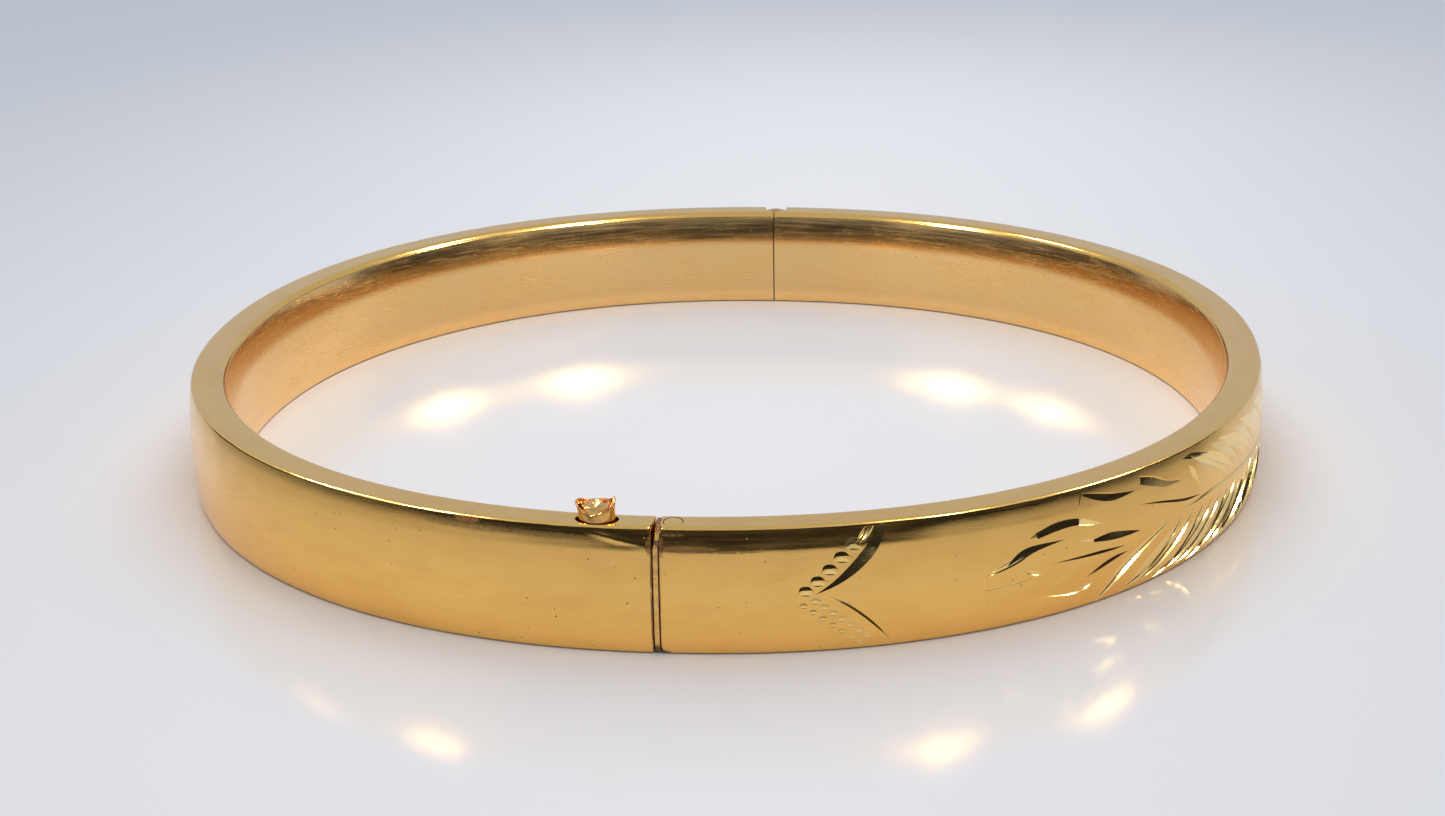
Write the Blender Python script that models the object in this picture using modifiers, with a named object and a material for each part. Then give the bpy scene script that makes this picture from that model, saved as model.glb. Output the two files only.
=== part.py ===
"""Hollow hinged bangle bracelet, built in metres with +Z up.

The band is an oval in the XY plane that stands on its lower edge. The plain half is on the -X side, the
engraved half on the +X side. They part at X = 0: the clasp is at the front (-Y), the hinge at the back (+Y).
Sections are drawn as (depth, height): depth is measured inwards from the outermost line of the band.
"""

import math

import bmesh
import bpy
from mathutils import Matrix, Vector

# Band
HALF_WIDTH = 0.0308
HALF_DEPTH = 0.0323
OVAL_POWER = 2.1
OVAL_STATIONS = 72
BAND_HEIGHT = 0.00635
BAND_THICKNESS = 0.00225
SHEET = 0.0003

# Outer face of the section: a nearly flat face, a crown above and below it, and small edge radii
FACE_RADIUS = 0.040
FACE_ANGLE = math.radians(3)
CROWN_ANGLE = math.radians(16)
EDGE_RADIUS = 0.00012
ARC_STEPS = 2

# Clearances
JOINT_GAP = 0.00003

# Clasp seam: the mouth plate is centred on X = 0
PLATE = 0.00022
SEAM_LINE = 0.00005
PARTING_LINE = 0.00007

# Hinge
BARREL_RADIUS = 0.00075
BARREL_BORE = 0.00033
PIN_RADIUS = 0.0003
GROOVE_RADIUS = 0.00085
KNUCKLES = 5
KNUCKLE_GAP = 0.00006
BARREL_END = 0.0002
PIN_HEAD_RADIUS = 0.0005
PIN_HEAD = 0.00012
PIN_END = 0.00005
HINGE_LINE = 0.00008
SEAT_LENGTH = 0.0012
ROUND_STEPS = 24

# Tongue: a folded strip, with its lower leaf level and its upper leaf rising to the button
TONGUE_WIDTH = 0.0013
TONGUE_SHEET = 0.00024
FOLD_X = -0.0074
FOLD_HEIGHT = 0.0032
FOLD_RADIUS = 0.00033
FOLD_OVERLAP = 0.0006
TONGUE_ROOT = 0.0024
LEAF_ANGLE = math.radians(17)
LEAF_LENGTH = 0.006
LEAF_START = 0.00005

# Snap box
TRAY_TOP = 0.0026
TRAY_SHEET = 0.00025
TRAY_STOP_X = -0.00815
WINDOW_WIDTH = 0.00145

# Rivet of the tongue
RIVET_X = 0.00078
RIVET_HEAD_LENGTH = 0.0009
RIVET_OVAL = 4 / 3
RIVET_SHANK_RADIUS = 0.0002
RIVET_TAIL_RADIUS = 0.00034
RIVET_TAIL_HEIGHT = 0.0024

# Push button
BUTTON_X = -0.00295
BUTTON_LENGTH = 0.0018
BUTTON_WIDTH = 0.0013
BUTTON_WALL = 0.00015
BUTTON_FOOT = 0.00535
BUTTON_TOP = 0.00755
CORE_TOP = 0.00725
CORE_SHOULDER = 0.0068
POST_RADIUS = 0.00025
POST_FOOT = 0.00514
HOLE_LENGTH = 0.0021
HOLE_WIDTH = 0.0015

# Derived sizes
CAVITY_DEPTH = BAND_THICKNESS / 2
CLEAR_OF_ALL = 0.05
CROWN_RADIUS = (
    BAND_HEIGHT / 2
    - FACE_RADIUS * math.sin(FACE_ANGLE)
    - EDGE_RADIUS * (1 - math.sin(CROWN_ANGLE))
) / (math.sin(CROWN_ANGLE) - math.sin(FACE_ANGLE))
HINGE_Y = HALF_DEPTH - BARREL_RADIUS
PLAIN_END = -PLATE / 2 - SEAM_LINE
ENGRAVED_END = PLATE / 2 + PARTING_LINE

# Finishes: colour, roughness, metallic
POLISHED_GOLD = ((0.86, 0.56, 0.20, 1), 0.16, 1)
LINING_GOLD = ((0.85, 0.55, 0.22, 1), 0.24, 1)
WORN_GOLD = ((0.80, 0.48, 0.22, 1), 0.30, 1)
TARNISHED_BRASS = ((0.62, 0.42, 0.20, 1), 0.38, 1)
SPRING_BRONZE = ((0.66, 0.44, 0.24, 1), 0.30, 1)
SOLDER = ((0.72, 0.58, 0.38, 1), 0.42, 1)


def clear_scene():
    for item in list(bpy.data.objects):
        bpy.data.objects.remove(item, do_unlink=True)


def make_collection(name):
    group = bpy.data.collections.new(name)
    bpy.context.scene.collection.children.link(group)
    return group


def make_material(name, finish):
    colour, roughness, metallic = finish
    material = bpy.data.materials.new(name)
    material.use_nodes = True
    shader = material.node_tree.nodes["Principled BSDF"]
    shader.inputs["Base Color"].default_value = colour
    shader.inputs["Roughness"].default_value = roughness
    shader.inputs["Metallic"].default_value = metallic
    return material


# Outlines


def arc(centre, radius, start, end, steps=ARC_STEPS):
    """Points along an arc, where angle 0 faces outwards and a quarter turn faces up."""
    points = []
    for step in range(steps + 1):
        angle = start + (end - start) * step / steps
        depth = centre[0] - radius * math.cos(angle)
        points.append((depth, centre[1] + radius * math.sin(angle)))
    return points


def outer_side(inset):
    """The outer side of the section, from the top edge down to the bottom edge, moved inwards by inset."""
    middle = BAND_HEIGHT / 2
    face_centre = (FACE_RADIUS, middle)
    reach = FACE_RADIUS - CROWN_RADIUS
    crown_centre = (
        FACE_RADIUS - reach * math.cos(FACE_ANGLE),
        middle + reach * math.sin(FACE_ANGLE),
    )
    crown_radius = CROWN_RADIUS - inset
    if inset < EDGE_RADIUS:
        reach = CROWN_RADIUS - EDGE_RADIUS
        edge_centre = (
            crown_centre[0] - reach * math.cos(CROWN_ANGLE),
            crown_centre[1] + reach * math.sin(CROWN_ANGLE),
        )
        upper = arc(edge_centre, EDGE_RADIUS - inset, math.pi / 2, CROWN_ANGLE)
        upper += arc(crown_centre, crown_radius, CROWN_ANGLE, FACE_ANGLE)[1:]
    else:
        crown_end = math.asin((BAND_HEIGHT - inset - crown_centre[1]) / crown_radius)
        upper = arc(crown_centre, crown_radius, crown_end, FACE_ANGLE)
    upper += arc(face_centre, FACE_RADIUS - inset, FACE_ANGLE, 0, 1)[1:]
    lower = [(depth, BAND_HEIGHT - height) for depth, height in reversed(upper[:-1])]
    return upper + lower


def band_section(inset):
    """The whole section of the band as one closed outline, moved inwards by inset."""
    inner = BAND_THICKNESS - inset
    return [(inner, BAND_HEIGHT - inset)] + outer_side(inset) + [(inner, inset)]


def channel_section():
    """A channel of sheet: the outer face and both edges, open towards the wrist."""
    outside = [(BAND_THICKNESS, BAND_HEIGHT)] + outer_side(0) + [(BAND_THICKNESS, 0)]
    inside = [(BAND_THICKNESS, BAND_HEIGHT - SHEET)] + outer_side(SHEET) + [(BAND_THICKNESS, SHEET)]
    return outside + list(reversed(inside))


def strip_section(low_depth, high_depth, low, high):
    return [(low_depth, low), (high_depth, low), (high_depth, high), (low_depth, high)]


# Places on the oval


def oval_point(angle):
    """A point of the outermost line, by the angle of its superellipse."""
    power = 2 / OVAL_POWER
    cosine, sine = math.cos(angle), math.sin(angle)
    x = math.copysign(abs(cosine) ** power, cosine) * HALF_WIDTH
    y = math.copysign(abs(sine) ** power, sine) * HALF_DEPTH
    return x, y


def front_place(x, depth, height):
    """The frame at x on the front of the band: X along the band, Y inwards, Z up."""
    y = -HALF_DEPTH * (1 - abs(x / HALF_WIDTH) ** OVAL_POWER) ** (1 / OVAL_POWER)
    slope_x = math.copysign(abs(x / HALF_WIDTH) ** (OVAL_POWER - 1) / HALF_WIDTH, -x)
    slope_y = abs(y / HALF_DEPTH) ** (OVAL_POWER - 1) / HALF_DEPTH
    inwards = Vector((slope_x, slope_y, 0)).normalized()
    turn = Matrix.Rotation(math.atan2(-inwards.x, inwards.y), 4, "Z")
    return Matrix.Translation(Vector((x, y, height)) + inwards * depth) @ turn


# Solids


def curve_object(name, points):
    curve = bpy.data.curves.new(name, "CURVE")
    curve.dimensions = "2D"
    spline = curve.splines.new("POLY")
    spline.points.add(len(points) - 1)
    for point, (x, y) in zip(spline.points, points):
        point.co = (x, y, 0, 1)
    spline.use_cyclic_u = True
    item = bpy.data.objects.new(name, curve)
    bpy.context.scene.collection.objects.link(item)
    return item


def curve_to_mesh(item, group):
    """Replaces a curve object by a welded mesh object of the same name."""
    name = item.name
    bpy.context.view_layer.update()
    evaluated = item.evaluated_get(bpy.context.evaluated_depsgraph_get())
    mesh = bpy.data.meshes.new_from_object(evaluated)
    place = item.matrix_world.copy()
    bpy.data.objects.remove(item, do_unlink=True)
    work = bmesh.new()
    work.from_mesh(mesh)
    bmesh.ops.remove_doubles(work, verts=work.verts, dist=1e-7)
    bmesh.ops.recalc_face_normals(work, faces=work.faces)
    work.to_mesh(mesh)
    work.free()
    solid = bpy.data.objects.new(name, mesh)
    solid.name = name
    solid.matrix_world = place
    group.objects.link(solid)
    return solid


def swept_ring(name, section, group):
    """A section carried all the way round the oval."""
    steps = range(OVAL_STATIONS)
    path = curve_object(name, [oval_point(2 * math.pi * step / OVAL_STATIONS) for step in steps])
    profile = curve_object(name + "_profile", section)
    path.data.bevel_mode = "OBJECT"
    path.data.bevel_object = profile
    ring = curve_to_mesh(path, group)
    bpy.data.objects.remove(profile, do_unlink=True)
    return ring


def prism(name, outline, low, high, group):
    """A flat outline carried from the height low to the height high."""
    item = curve_object(name, outline)
    item.data.fill_mode = "BOTH"
    item.data.extrude = (high - low) / 2
    item.location.z = (low + high) / 2
    return curve_to_mesh(item, group)


def box(name, low, high, group):
    work = bmesh.new()
    bmesh.ops.create_cube(work, size=1)
    size = Vector(high) - Vector(low)
    middle = (Vector(high) + Vector(low)) / 2
    work.transform(Matrix.Translation(middle) @ Matrix.Diagonal((*size, 1)))
    mesh = bpy.data.meshes.new(name)
    work.to_mesh(mesh)
    work.free()
    item = bpy.data.objects.new(name, mesh)
    group.objects.link(item)
    return item


def cylinder(name, radius, low, high, group):
    """An upright cylinder about its own origin."""
    work = bmesh.new()
    bmesh.ops.create_cone(
        work, cap_ends=True, segments=ROUND_STEPS, radius1=radius, radius2=radius, depth=high - low
    )
    work.transform(Matrix.Translation((0, 0, (low + high) / 2)))
    mesh = bpy.data.meshes.new(name)
    work.to_mesh(mesh)
    work.free()
    item = bpy.data.objects.new(name, mesh)
    group.objects.link(item)
    return item


def turned(name, profile, closed, group):
    """A profile of (radius, height) points, listed down its outer side, turned about Z."""
    mesh = bpy.data.meshes.new(name)
    points = [(radius, 0, height) for radius, height in profile]
    edges = [(first, first + 1) for first in range(len(points) - 1)]
    if closed:
        edges.append((len(points) - 1, 0))
    mesh.from_pydata(points, edges, [])
    item = bpy.data.objects.new(name, mesh)
    group.objects.link(item)
    screw = item.modifiers.new("turn", "SCREW")
    screw.axis = "Z"
    screw.steps = ROUND_STEPS
    screw.render_steps = ROUND_STEPS
    screw.use_merge_vertices = True
    screw.merge_threshold = 1e-6
    return item


def combine(target, other, operation):
    modifier = target.modifiers.new(other.name, "BOOLEAN")
    modifier.operation = operation
    modifier.object = other
    modifier.solver = "EXACT"


def cut(target, *others):
    for other in others:
        combine(target, other, "DIFFERENCE")


def front_part(item, low_x, high_x, guides, low=-CLEAR_OF_ALL, high=CLEAR_OF_ALL):
    """Keeps only the stretch of a ring at the front, between two places along X."""
    keep = box(item.name + "_extent", (low_x, -CLEAR_OF_ALL, low), (high_x, 0, high), guides)
    combine(item, keep, "INTERSECT")


def back_part(item, low_x, high_x, guides):
    keep = box(
        item.name + "_extent", (low_x, 0, -CLEAR_OF_ALL), (high_x, CLEAR_OF_ALL, CLEAR_OF_ALL), guides
    )
    combine(item, keep, "INTERSECT")


# Cutters shared by several pieces


def half_cutter(name, side, clasp_end, hinge_end, guides):
    """Everything on the far side of one half: it steps from the clasp's end plane to the hinge's."""
    far = side * CLEAR_OF_ALL
    outline = [
        (clasp_end, -CLEAR_OF_ALL),
        (far, -CLEAR_OF_ALL),
        (far, CLEAR_OF_ALL),
        (hinge_end, CLEAR_OF_ALL),
        (hinge_end, 0),
        (clasp_end, 0),
    ]
    return prism(name, outline, -SHEET, BAND_HEIGHT + SHEET, guides)


def oval_cutter(name, length, width, x, low, high, guides):
    item = cylinder(name, length / 2, low, high, guides)
    item.matrix_world = front_place(x, CAVITY_DEPTH, 0) @ Matrix.Diagonal((1, width / length, 1, 1))
    return item


# Pieces of the band


def make_half(side, hinge_seat_name, clasp_end, groove, hole, parts, guides):
    """The shell, lining and hinge seat of one half, where side is -1 for plain and 1 for engraved."""
    half = "plain" if side < 0 else "engraved"
    hinge_end = side * HINGE_LINE / 2
    away = half_cutter(half + "_far_side", -side, clasp_end, hinge_end, guides)
    shell = swept_ring(half + "_outer_shell", channel_section(), parts)
    cut(shell, away, groove, hole)
    lining_section = strip_section(
        BAND_THICKNESS - SHEET, BAND_THICKNESS, SHEET + JOINT_GAP, BAND_HEIGHT - SHEET - JOINT_GAP
    )
    lining = swept_ring(half + "_inner_lining", lining_section, parts)
    cut(lining, away)
    seat = swept_ring(hinge_seat_name, band_section(SHEET + JOINT_GAP), parts)
    seat_ends = sorted((hinge_end, side * SEAT_LENGTH))
    back_part(seat, seat_ends[0], seat_ends[1], guides)
    cut(seat, groove)
    return shell, lining, seat


def make_mouth_plate(parts, guides):
    plate = swept_ring("mouth_plate", band_section(0), parts)
    front_part(plate, -PLATE / 2, PLATE / 2, guides)
    window = box(
        "mouth_window",
        (-PLATE, -HALF_DEPTH + CAVITY_DEPTH - WINDOW_WIDTH / 2, TRAY_TOP),
        (PLATE, -HALF_DEPTH + CAVITY_DEPTH + WINDOW_WIDTH / 2, BAND_HEIGHT - SHEET),
        guides,
    )
    cut(plate, window)
    return plate


def make_tongue_plate(parts, guides):
    plate = swept_ring("tongue_plate", band_section(SHEET + JOINT_GAP), parts)
    front_part(plate, ENGRAVED_END, ENGRAVED_END + PLATE, guides)
    leaf_low = FOLD_HEIGHT - FOLD_RADIUS - TONGUE_SHEET / 2
    reach = TONGUE_WIDTH / 2 + JOINT_GAP
    slot = box(
        "tongue_slot",
        (0, -HALF_DEPTH + CAVITY_DEPTH - reach, leaf_low - JOINT_GAP),
        (PLATE * 3, -HALF_DEPTH + CAVITY_DEPTH + reach, leaf_low + TONGUE_SHEET + JOINT_GAP),
        guides,
    )
    cut(plate, slot)
    return plate


def make_tray(parts, guides):
    """A bent strip in the mouth: a floor under the tongue and an upright stop behind its tip."""
    wall = SHEET + JOINT_GAP
    floor_low = TRAY_TOP - TRAY_SHEET
    floor = strip_section(wall + JOINT_GAP, BAND_THICKNESS - wall - JOINT_GAP, floor_low, TRAY_TOP)
    tray = swept_ring("snap_box_tray", floor, parts)
    front_part(tray, TRAY_STOP_X - TRAY_SHEET / 2, PLAIN_END - JOINT_GAP, guides)
    stop = swept_ring("snap_box_stop", band_section(wall), guides)
    front_part(stop, TRAY_STOP_X - TRAY_SHEET, TRAY_STOP_X, guides, low=floor_low + JOINT_GAP)
    combine(tray, stop, "UNION")
    return tray


# Pieces of the hinge


def make_knuckle(number, parts):
    """One tube of the barrel, counted from the bottom."""
    total = BAND_HEIGHT - 2 * BARREL_END
    pitch = (total + KNUCKLE_GAP) / KNUCKLES
    low = BARREL_END + (number - 1) * pitch
    high = low + pitch - KNUCKLE_GAP
    profile = [(BARREL_RADIUS, high), (BARREL_RADIUS, low), (BARREL_BORE, low), (BARREL_BORE, high)]
    knuckle = turned(f"hinge_knuckle_{number}", profile, True, parts)
    knuckle.location = (0, HINGE_Y, 0)
    return knuckle


def make_pin(parts):
    """The hinge wire, with a flat riveted head at each end."""
    top = BAND_HEIGHT - PIN_END
    profile = [
        (0, top),
        (PIN_HEAD_RADIUS, top),
        (PIN_HEAD_RADIUS, top - PIN_HEAD),
        (PIN_RADIUS, top - PIN_HEAD),
        (PIN_RADIUS, PIN_END + PIN_HEAD),
        (PIN_HEAD_RADIUS, PIN_END + PIN_HEAD),
        (PIN_HEAD_RADIUS, PIN_END),
        (0, PIN_END),
    ]
    pin = turned("hinge_pin", profile, False, parts)
    pin.location = (0, HINGE_Y, 0)
    return pin


# Pieces of the tongue and the button


def tongue_section(low):
    side = TONGUE_WIDTH / 2
    return strip_section(CAVITY_DEPTH - side, CAVITY_DEPTH + side, low, low + TONGUE_SHEET)


def make_fold(guides):
    """The bend at the tongue's tip, a little thinner and narrower than the leaf that it runs into."""
    slim = JOINT_GAP / 3
    outer = FOLD_RADIUS + TONGUE_SHEET / 2 - slim
    inner = FOLD_RADIUS - TONGUE_SHEET / 2 + slim
    steps = ROUND_STEPS // 2
    turn = [math.pi * (0.5 + step / steps) for step in range(steps + 1)]
    outline = [(outer * math.cos(angle), outer * math.sin(angle)) for angle in turn]
    outline += [(FOLD_OVERLAP, -outer), (FOLD_OVERLAP, -inner)]
    outline += [(inner * math.cos(angle), inner * math.sin(angle)) for angle in reversed(turn)]
    side = TONGUE_WIDTH / 2 - slim
    fold = prism("tongue_fold", outline, -side, side, guides)
    upright = Matrix.Rotation(math.pi / 2, 4, "X")
    fold.matrix_world = front_place(FOLD_X, CAVITY_DEPTH, FOLD_HEIGHT) @ upright
    return fold


def make_tongue_base(rivet_hole, parts, guides):
    base = swept_ring("tongue_base", tongue_section(FOLD_HEIGHT - FOLD_RADIUS - TONGUE_SHEET / 2), parts)
    front_part(base, FOLD_X + FOLD_OVERLAP / 4, TONGUE_ROOT, guides)
    combine(base, make_fold(guides), "UNION")
    cut(base, rivet_hole)
    return base


def make_spring_leaf(pivot, parts, guides):
    """The upper leaf: level over the fold, then sheared so that it rises towards the clasp."""
    low = FOLD_HEIGHT + FOLD_RADIUS - TONGUE_SHEET / 2
    leaf = swept_ring("spring_leaf", tongue_section(low), parts)
    leaf.data.transform(pivot.matrix_world.inverted())
    extent = box(
        "spring_leaf_extent",
        (LEAF_START, -BAND_HEIGHT, 0),
        (LEAF_LENGTH, BAND_HEIGHT, BAND_HEIGHT),
        guides,
    )
    combine(leaf, extent, "INTERSECT")
    bpy.context.view_layer.update()
    evaluated = leaf.evaluated_get(bpy.context.evaluated_depsgraph_get())
    leaf.data = bpy.data.meshes.new_from_object(evaluated)
    leaf.modifiers.clear()
    rise = Matrix.Identity(4)
    rise[2][0] = math.tan(LEAF_ANGLE)
    leaf.data.transform(rise)
    leaf.parent = pivot
    return leaf


def make_rivet(parts):
    """Tail under the lower leaf, shank through it, and an oval head flush in the top edge."""
    head = RIVET_HEAD_LENGTH / 2
    head_low = BAND_HEIGHT - SHEET + 2 * JOINT_GAP
    leaf_low = FOLD_HEIGHT - FOLD_RADIUS - TONGUE_SHEET / 2
    profile = [
        (0, BAND_HEIGHT),
        (head, BAND_HEIGHT),
        (head, head_low),
        (RIVET_SHANK_RADIUS, head_low),
        (RIVET_SHANK_RADIUS, leaf_low - JOINT_GAP),
        (RIVET_TAIL_RADIUS, leaf_low - JOINT_GAP),
        (RIVET_TAIL_RADIUS, RIVET_TAIL_HEIGHT),
        (0, RIVET_TAIL_HEIGHT),
    ]
    rivet = turned("tongue_rivet", profile, False, parts)
    rivet.matrix_world = front_place(RIVET_X, CAVITY_DEPTH, 0) @ Matrix.Diagonal((1, RIVET_OVAL, 1, 1))
    return rivet


def place_button_piece(item, button):
    flatten = Matrix.Diagonal((1, BUTTON_WIDTH / BUTTON_LENGTH, 1, 1))
    item.parent = button
    item.matrix_parent_inverse = Matrix.Translation((0, 0, -button.location.z)) @ flatten


def make_button_cup(button, parts):
    outer = BUTTON_LENGTH / 2
    floor = BUTTON_FOOT + BUTTON_WALL
    hole = POST_RADIUS + JOINT_GAP
    profile = [
        (outer - BUTTON_WALL, BUTTON_TOP),
        (outer, BUTTON_TOP),
        (outer, BUTTON_FOOT),
        (hole, BUTTON_FOOT),
        (hole, floor),
        (outer - BUTTON_WALL, floor),
    ]
    cup = turned("button_cup", profile, True, parts)
    place_button_piece(cup, button)
    return cup


def make_button_core(button, parts):
    """The filling: domed on top, with a post through the cup's floor."""
    radius = BUTTON_LENGTH / 2 - BUTTON_WALL - JOINT_GAP
    floor = BUTTON_FOOT + BUTTON_WALL + JOINT_GAP
    dome = CORE_TOP - CORE_SHOULDER
    turns = [math.radians(angle) for angle in (90, 60, 30, 0)]
    profile = [
        (radius * math.cos(angle), CORE_SHOULDER + dome * math.sin(angle)) for angle in turns
    ]
    profile[0] = (0, CORE_TOP)
    profile += [(radius, floor), (POST_RADIUS, floor), (POST_RADIUS, POST_FOOT), (0, POST_FOOT)]
    core = turned("button_core", profile, False, parts)
    place_button_piece(core, button)
    return core


def make_empty(name, place, group):
    empty = bpy.data.objects.new(name, None)
    empty.empty_display_size = BAND_HEIGHT
    empty.matrix_world = place
    group.objects.link(empty)
    return empty


def hang_on(empty, items):
    """Parents items to an empty and leaves them where they are."""
    for item in items:
        item.parent = empty
        item.matrix_parent_inverse = empty.matrix_world.inverted()


def main():
    clear_scene()
    parts = make_collection("bangle_bracelet")
    guides = make_collection("cutters")
    groove = cylinder("hinge_groove", GROOVE_RADIUS, -SHEET, BAND_HEIGHT + SHEET, guides)
    groove.location = (0, HINGE_Y, 0)
    lip_low = BAND_HEIGHT - 2 * SHEET
    lip_high = BAND_HEIGHT + SHEET
    button_hole = oval_cutter(
        "button_hole", HOLE_LENGTH, HOLE_WIDTH, BUTTON_X, lip_low, lip_high, guides
    )
    rivet_length = RIVET_HEAD_LENGTH + 2 * JOINT_GAP
    rivet_width = RIVET_HEAD_LENGTH * RIVET_OVAL + 2 * JOINT_GAP
    rivet_hole = oval_cutter(
        "rivet_hole", rivet_length, rivet_width, RIVET_X, lip_low, lip_high, guides
    )
    shank_length = 2 * (RIVET_SHANK_RADIUS + JOINT_GAP)
    shank_hole = oval_cutter(
        "shank_hole", shank_length, shank_length * RIVET_OVAL, RIVET_X, 0, lip_low, guides
    )

    hinge_axis = make_empty("hinge_axis", Matrix.Translation((0, HINGE_Y, 0)), guides)
    fold_axis = make_empty("fold_axis", front_place(FOLD_X, CAVITY_DEPTH, FOLD_HEIGHT), guides)
    button = make_empty("button_slide", front_place(BUTTON_X, CAVITY_DEPTH, BUTTON_FOOT), guides)

    plain_half = make_half(
        -1, "plain_hinge_seat", PLAIN_END, groove, button_hole, parts, guides
    )
    engraved_half = make_half(
        1, "engraved_hinge_seat", ENGRAVED_END, groove, rivet_hole, parts, guides
    )
    knuckles = [make_knuckle(number, parts) for number in range(1, KNUCKLES + 1)]
    tongue_plate = make_tongue_plate(parts, guides)
    tongue_base = make_tongue_base(shank_hole, parts, guides)
    rivet = make_rivet(parts)
    finishes = {
        POLISHED_GOLD: [plain_half[0], engraved_half[0], make_mouth_plate(parts, guides)],
        LINING_GOLD: [plain_half[1], engraved_half[1]],
        TARNISHED_BRASS: [
            plain_half[2],
            engraved_half[2],
            tongue_plate,
            make_tray(parts, guides),
            make_pin(parts),
            *knuckles,
        ],
        SPRING_BRONZE: [
            tongue_base,
            make_spring_leaf(fold_axis, parts, guides),
            rivet,
        ],
        WORN_GOLD: [make_button_cup(button, parts)],
        SOLDER: [make_button_core(button, parts)],
    }
    swinging = [*engraved_half, *knuckles[1::2], tongue_plate, tongue_base, rivet]
    hang_on(hinge_axis, [*swinging, fold_axis, button])
    for finish, items in finishes.items():
        for item in items:
            item.data.materials.clear()
            item.data.materials.append(make_material(item.name, finish))
            item.data.shade_smooth()
            item.data.set_sharp_from_angle(angle=math.radians(30))
    for item in guides.objects:
        item.hide_render = True
        item.display_type = "WIRE"
    bpy.context.view_layer.update()


main()
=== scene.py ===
"""The look of the hollow hinged bangle bracelet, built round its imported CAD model.

Lengths in the tables and in the band's own places are in millimetres. A place on the band is (s, depth, z):
s runs along the outermost line from the clasp seam, positive on the engraved half, depth inwards and z up.
"""

import math

import bmesh
import bpy
import numpy as np
from mathutils import Matrix, Vector
from mathutils.geometry import delaunay_2d_cdt


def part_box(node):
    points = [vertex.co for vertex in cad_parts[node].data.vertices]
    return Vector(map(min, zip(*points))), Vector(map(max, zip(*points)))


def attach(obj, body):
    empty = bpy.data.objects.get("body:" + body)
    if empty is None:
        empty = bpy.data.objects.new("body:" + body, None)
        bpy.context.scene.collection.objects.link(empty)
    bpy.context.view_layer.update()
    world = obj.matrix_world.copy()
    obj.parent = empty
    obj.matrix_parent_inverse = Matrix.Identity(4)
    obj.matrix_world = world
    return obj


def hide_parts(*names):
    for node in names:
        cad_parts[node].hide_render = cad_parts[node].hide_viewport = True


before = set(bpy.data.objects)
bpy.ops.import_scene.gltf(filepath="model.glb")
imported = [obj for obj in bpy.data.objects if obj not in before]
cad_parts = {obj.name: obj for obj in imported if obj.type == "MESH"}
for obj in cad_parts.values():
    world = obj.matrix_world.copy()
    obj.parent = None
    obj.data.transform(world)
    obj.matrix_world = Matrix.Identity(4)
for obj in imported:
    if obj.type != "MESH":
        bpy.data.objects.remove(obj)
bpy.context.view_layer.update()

MM = 0.001

# ---------------------------------------------------------------- the band's shape, as in the CAD source
HALF_WIDTH = 30.8
HALF_DEPTH = 32.3
OVAL_POWER = 2.1
HEIGHT = 6.35
THICKNESS = 2.25
MID_DEPTH = THICKNESS / 2
SHEET = 0.3
WALL = 0.24
GAP = 0.03
SEAM_ENGRAVED = 0.18
SEAM_PLAIN = -0.16
PLATE_HALF = 0.11
HINGE_HALF_GAP = 0.04
BARREL_RADIUS = 0.75
GROOVE_RADIUS = 0.85
FACE_RADIUS = 40.0

# the outer side between its two edge arcs
FACE_TOP = 6.22
FACE_FOOT = 0.11
CREASE = 5.22
LIP_RADIUS = 0.36
LIP_TILT = math.radians(18)
FOOT_LIP_RADIUS = 0.02
FOOT_END = 1.92
LIP_DEPTH = 2.12
LIP_DRAW = 0.03
END_WEAR = 0.06


def half_oval():
    """Arc length, x, y and the outward normal along the +X half, from the front to the back."""
    turn = np.linspace(-math.pi / 2, math.pi / 2, 16001)
    cosine, sine = np.cos(turn), np.sin(turn)
    power = 2 / OVAL_POWER
    x = np.abs(cosine) ** power * HALF_WIDTH
    y = np.sign(sine) * np.abs(sine) ** power * HALF_DEPTH
    x[0] = x[-1] = 0
    slope_x = np.abs(x / HALF_WIDTH) ** (OVAL_POWER - 1) / HALF_WIDTH
    slope_y = np.sign(y) * np.abs(y / HALF_DEPTH) ** (OVAL_POWER - 1) / HALF_DEPTH
    size = np.hypot(slope_x, slope_y)
    run = np.concatenate([[0], np.cumsum(np.hypot(np.diff(x), np.diff(y)))])
    return run, x, y, slope_x / size, slope_y / size


OVAL = half_oval()
HALF_LENGTH = float(OVAL[0][-1])


def half_ends(side):
    """How far along the band a half starts at the clasp and ends at the hinge."""
    start = SEAM_ENGRAVED if side > 0 else -SEAM_PLAIN
    return start, HALF_LENGTH - HINGE_HALF_GAP


def oval_at(s):
    """x, y and the outward normal at s, where a negative s is on the plain half."""
    s = np.asarray(s, float)
    side = np.where(s < 0, -1.0, 1.0)
    x, y, nx, ny = (np.interp(np.abs(s), OVAL[0], row) for row in OVAL[1:])
    return x * side, y, nx * side, ny


def on_band(s, depth, z):
    """Points in metres, in rows of x, y, z."""
    x, y, nx, ny = oval_at(s)
    z = np.broadcast_to(np.asarray(z, float), x.shape)
    return np.stack([x - nx * depth, y - ny * depth, z], -1) * MM


# ---------------------------------------------------------------- the section's outer side
SIDE_Z = np.linspace(0, HEIGHT, 1271)


def ease(low, high, value):
    t = np.clip((value - low) / (high - low), 0, 1)
    return t * t * (3 - 2 * t)


def side_slopes():
    """Slopes (inwards per height) of the flat face, of the upper crown and of the lower crown."""
    face = (SIDE_Z - HEIGHT / 2) / FACE_RADIUS
    upper = 0.150 * ease(CREASE - 0.09, CREASE + 0.13, SIDE_Z)
    face = face + 0.115 * ease(CREASE + 0.3, FACE_TOP, SIDE_Z)
    lower = -0.24 * ease(1.25, 0.0, SIDE_Z)
    return face, upper, lower


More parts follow.
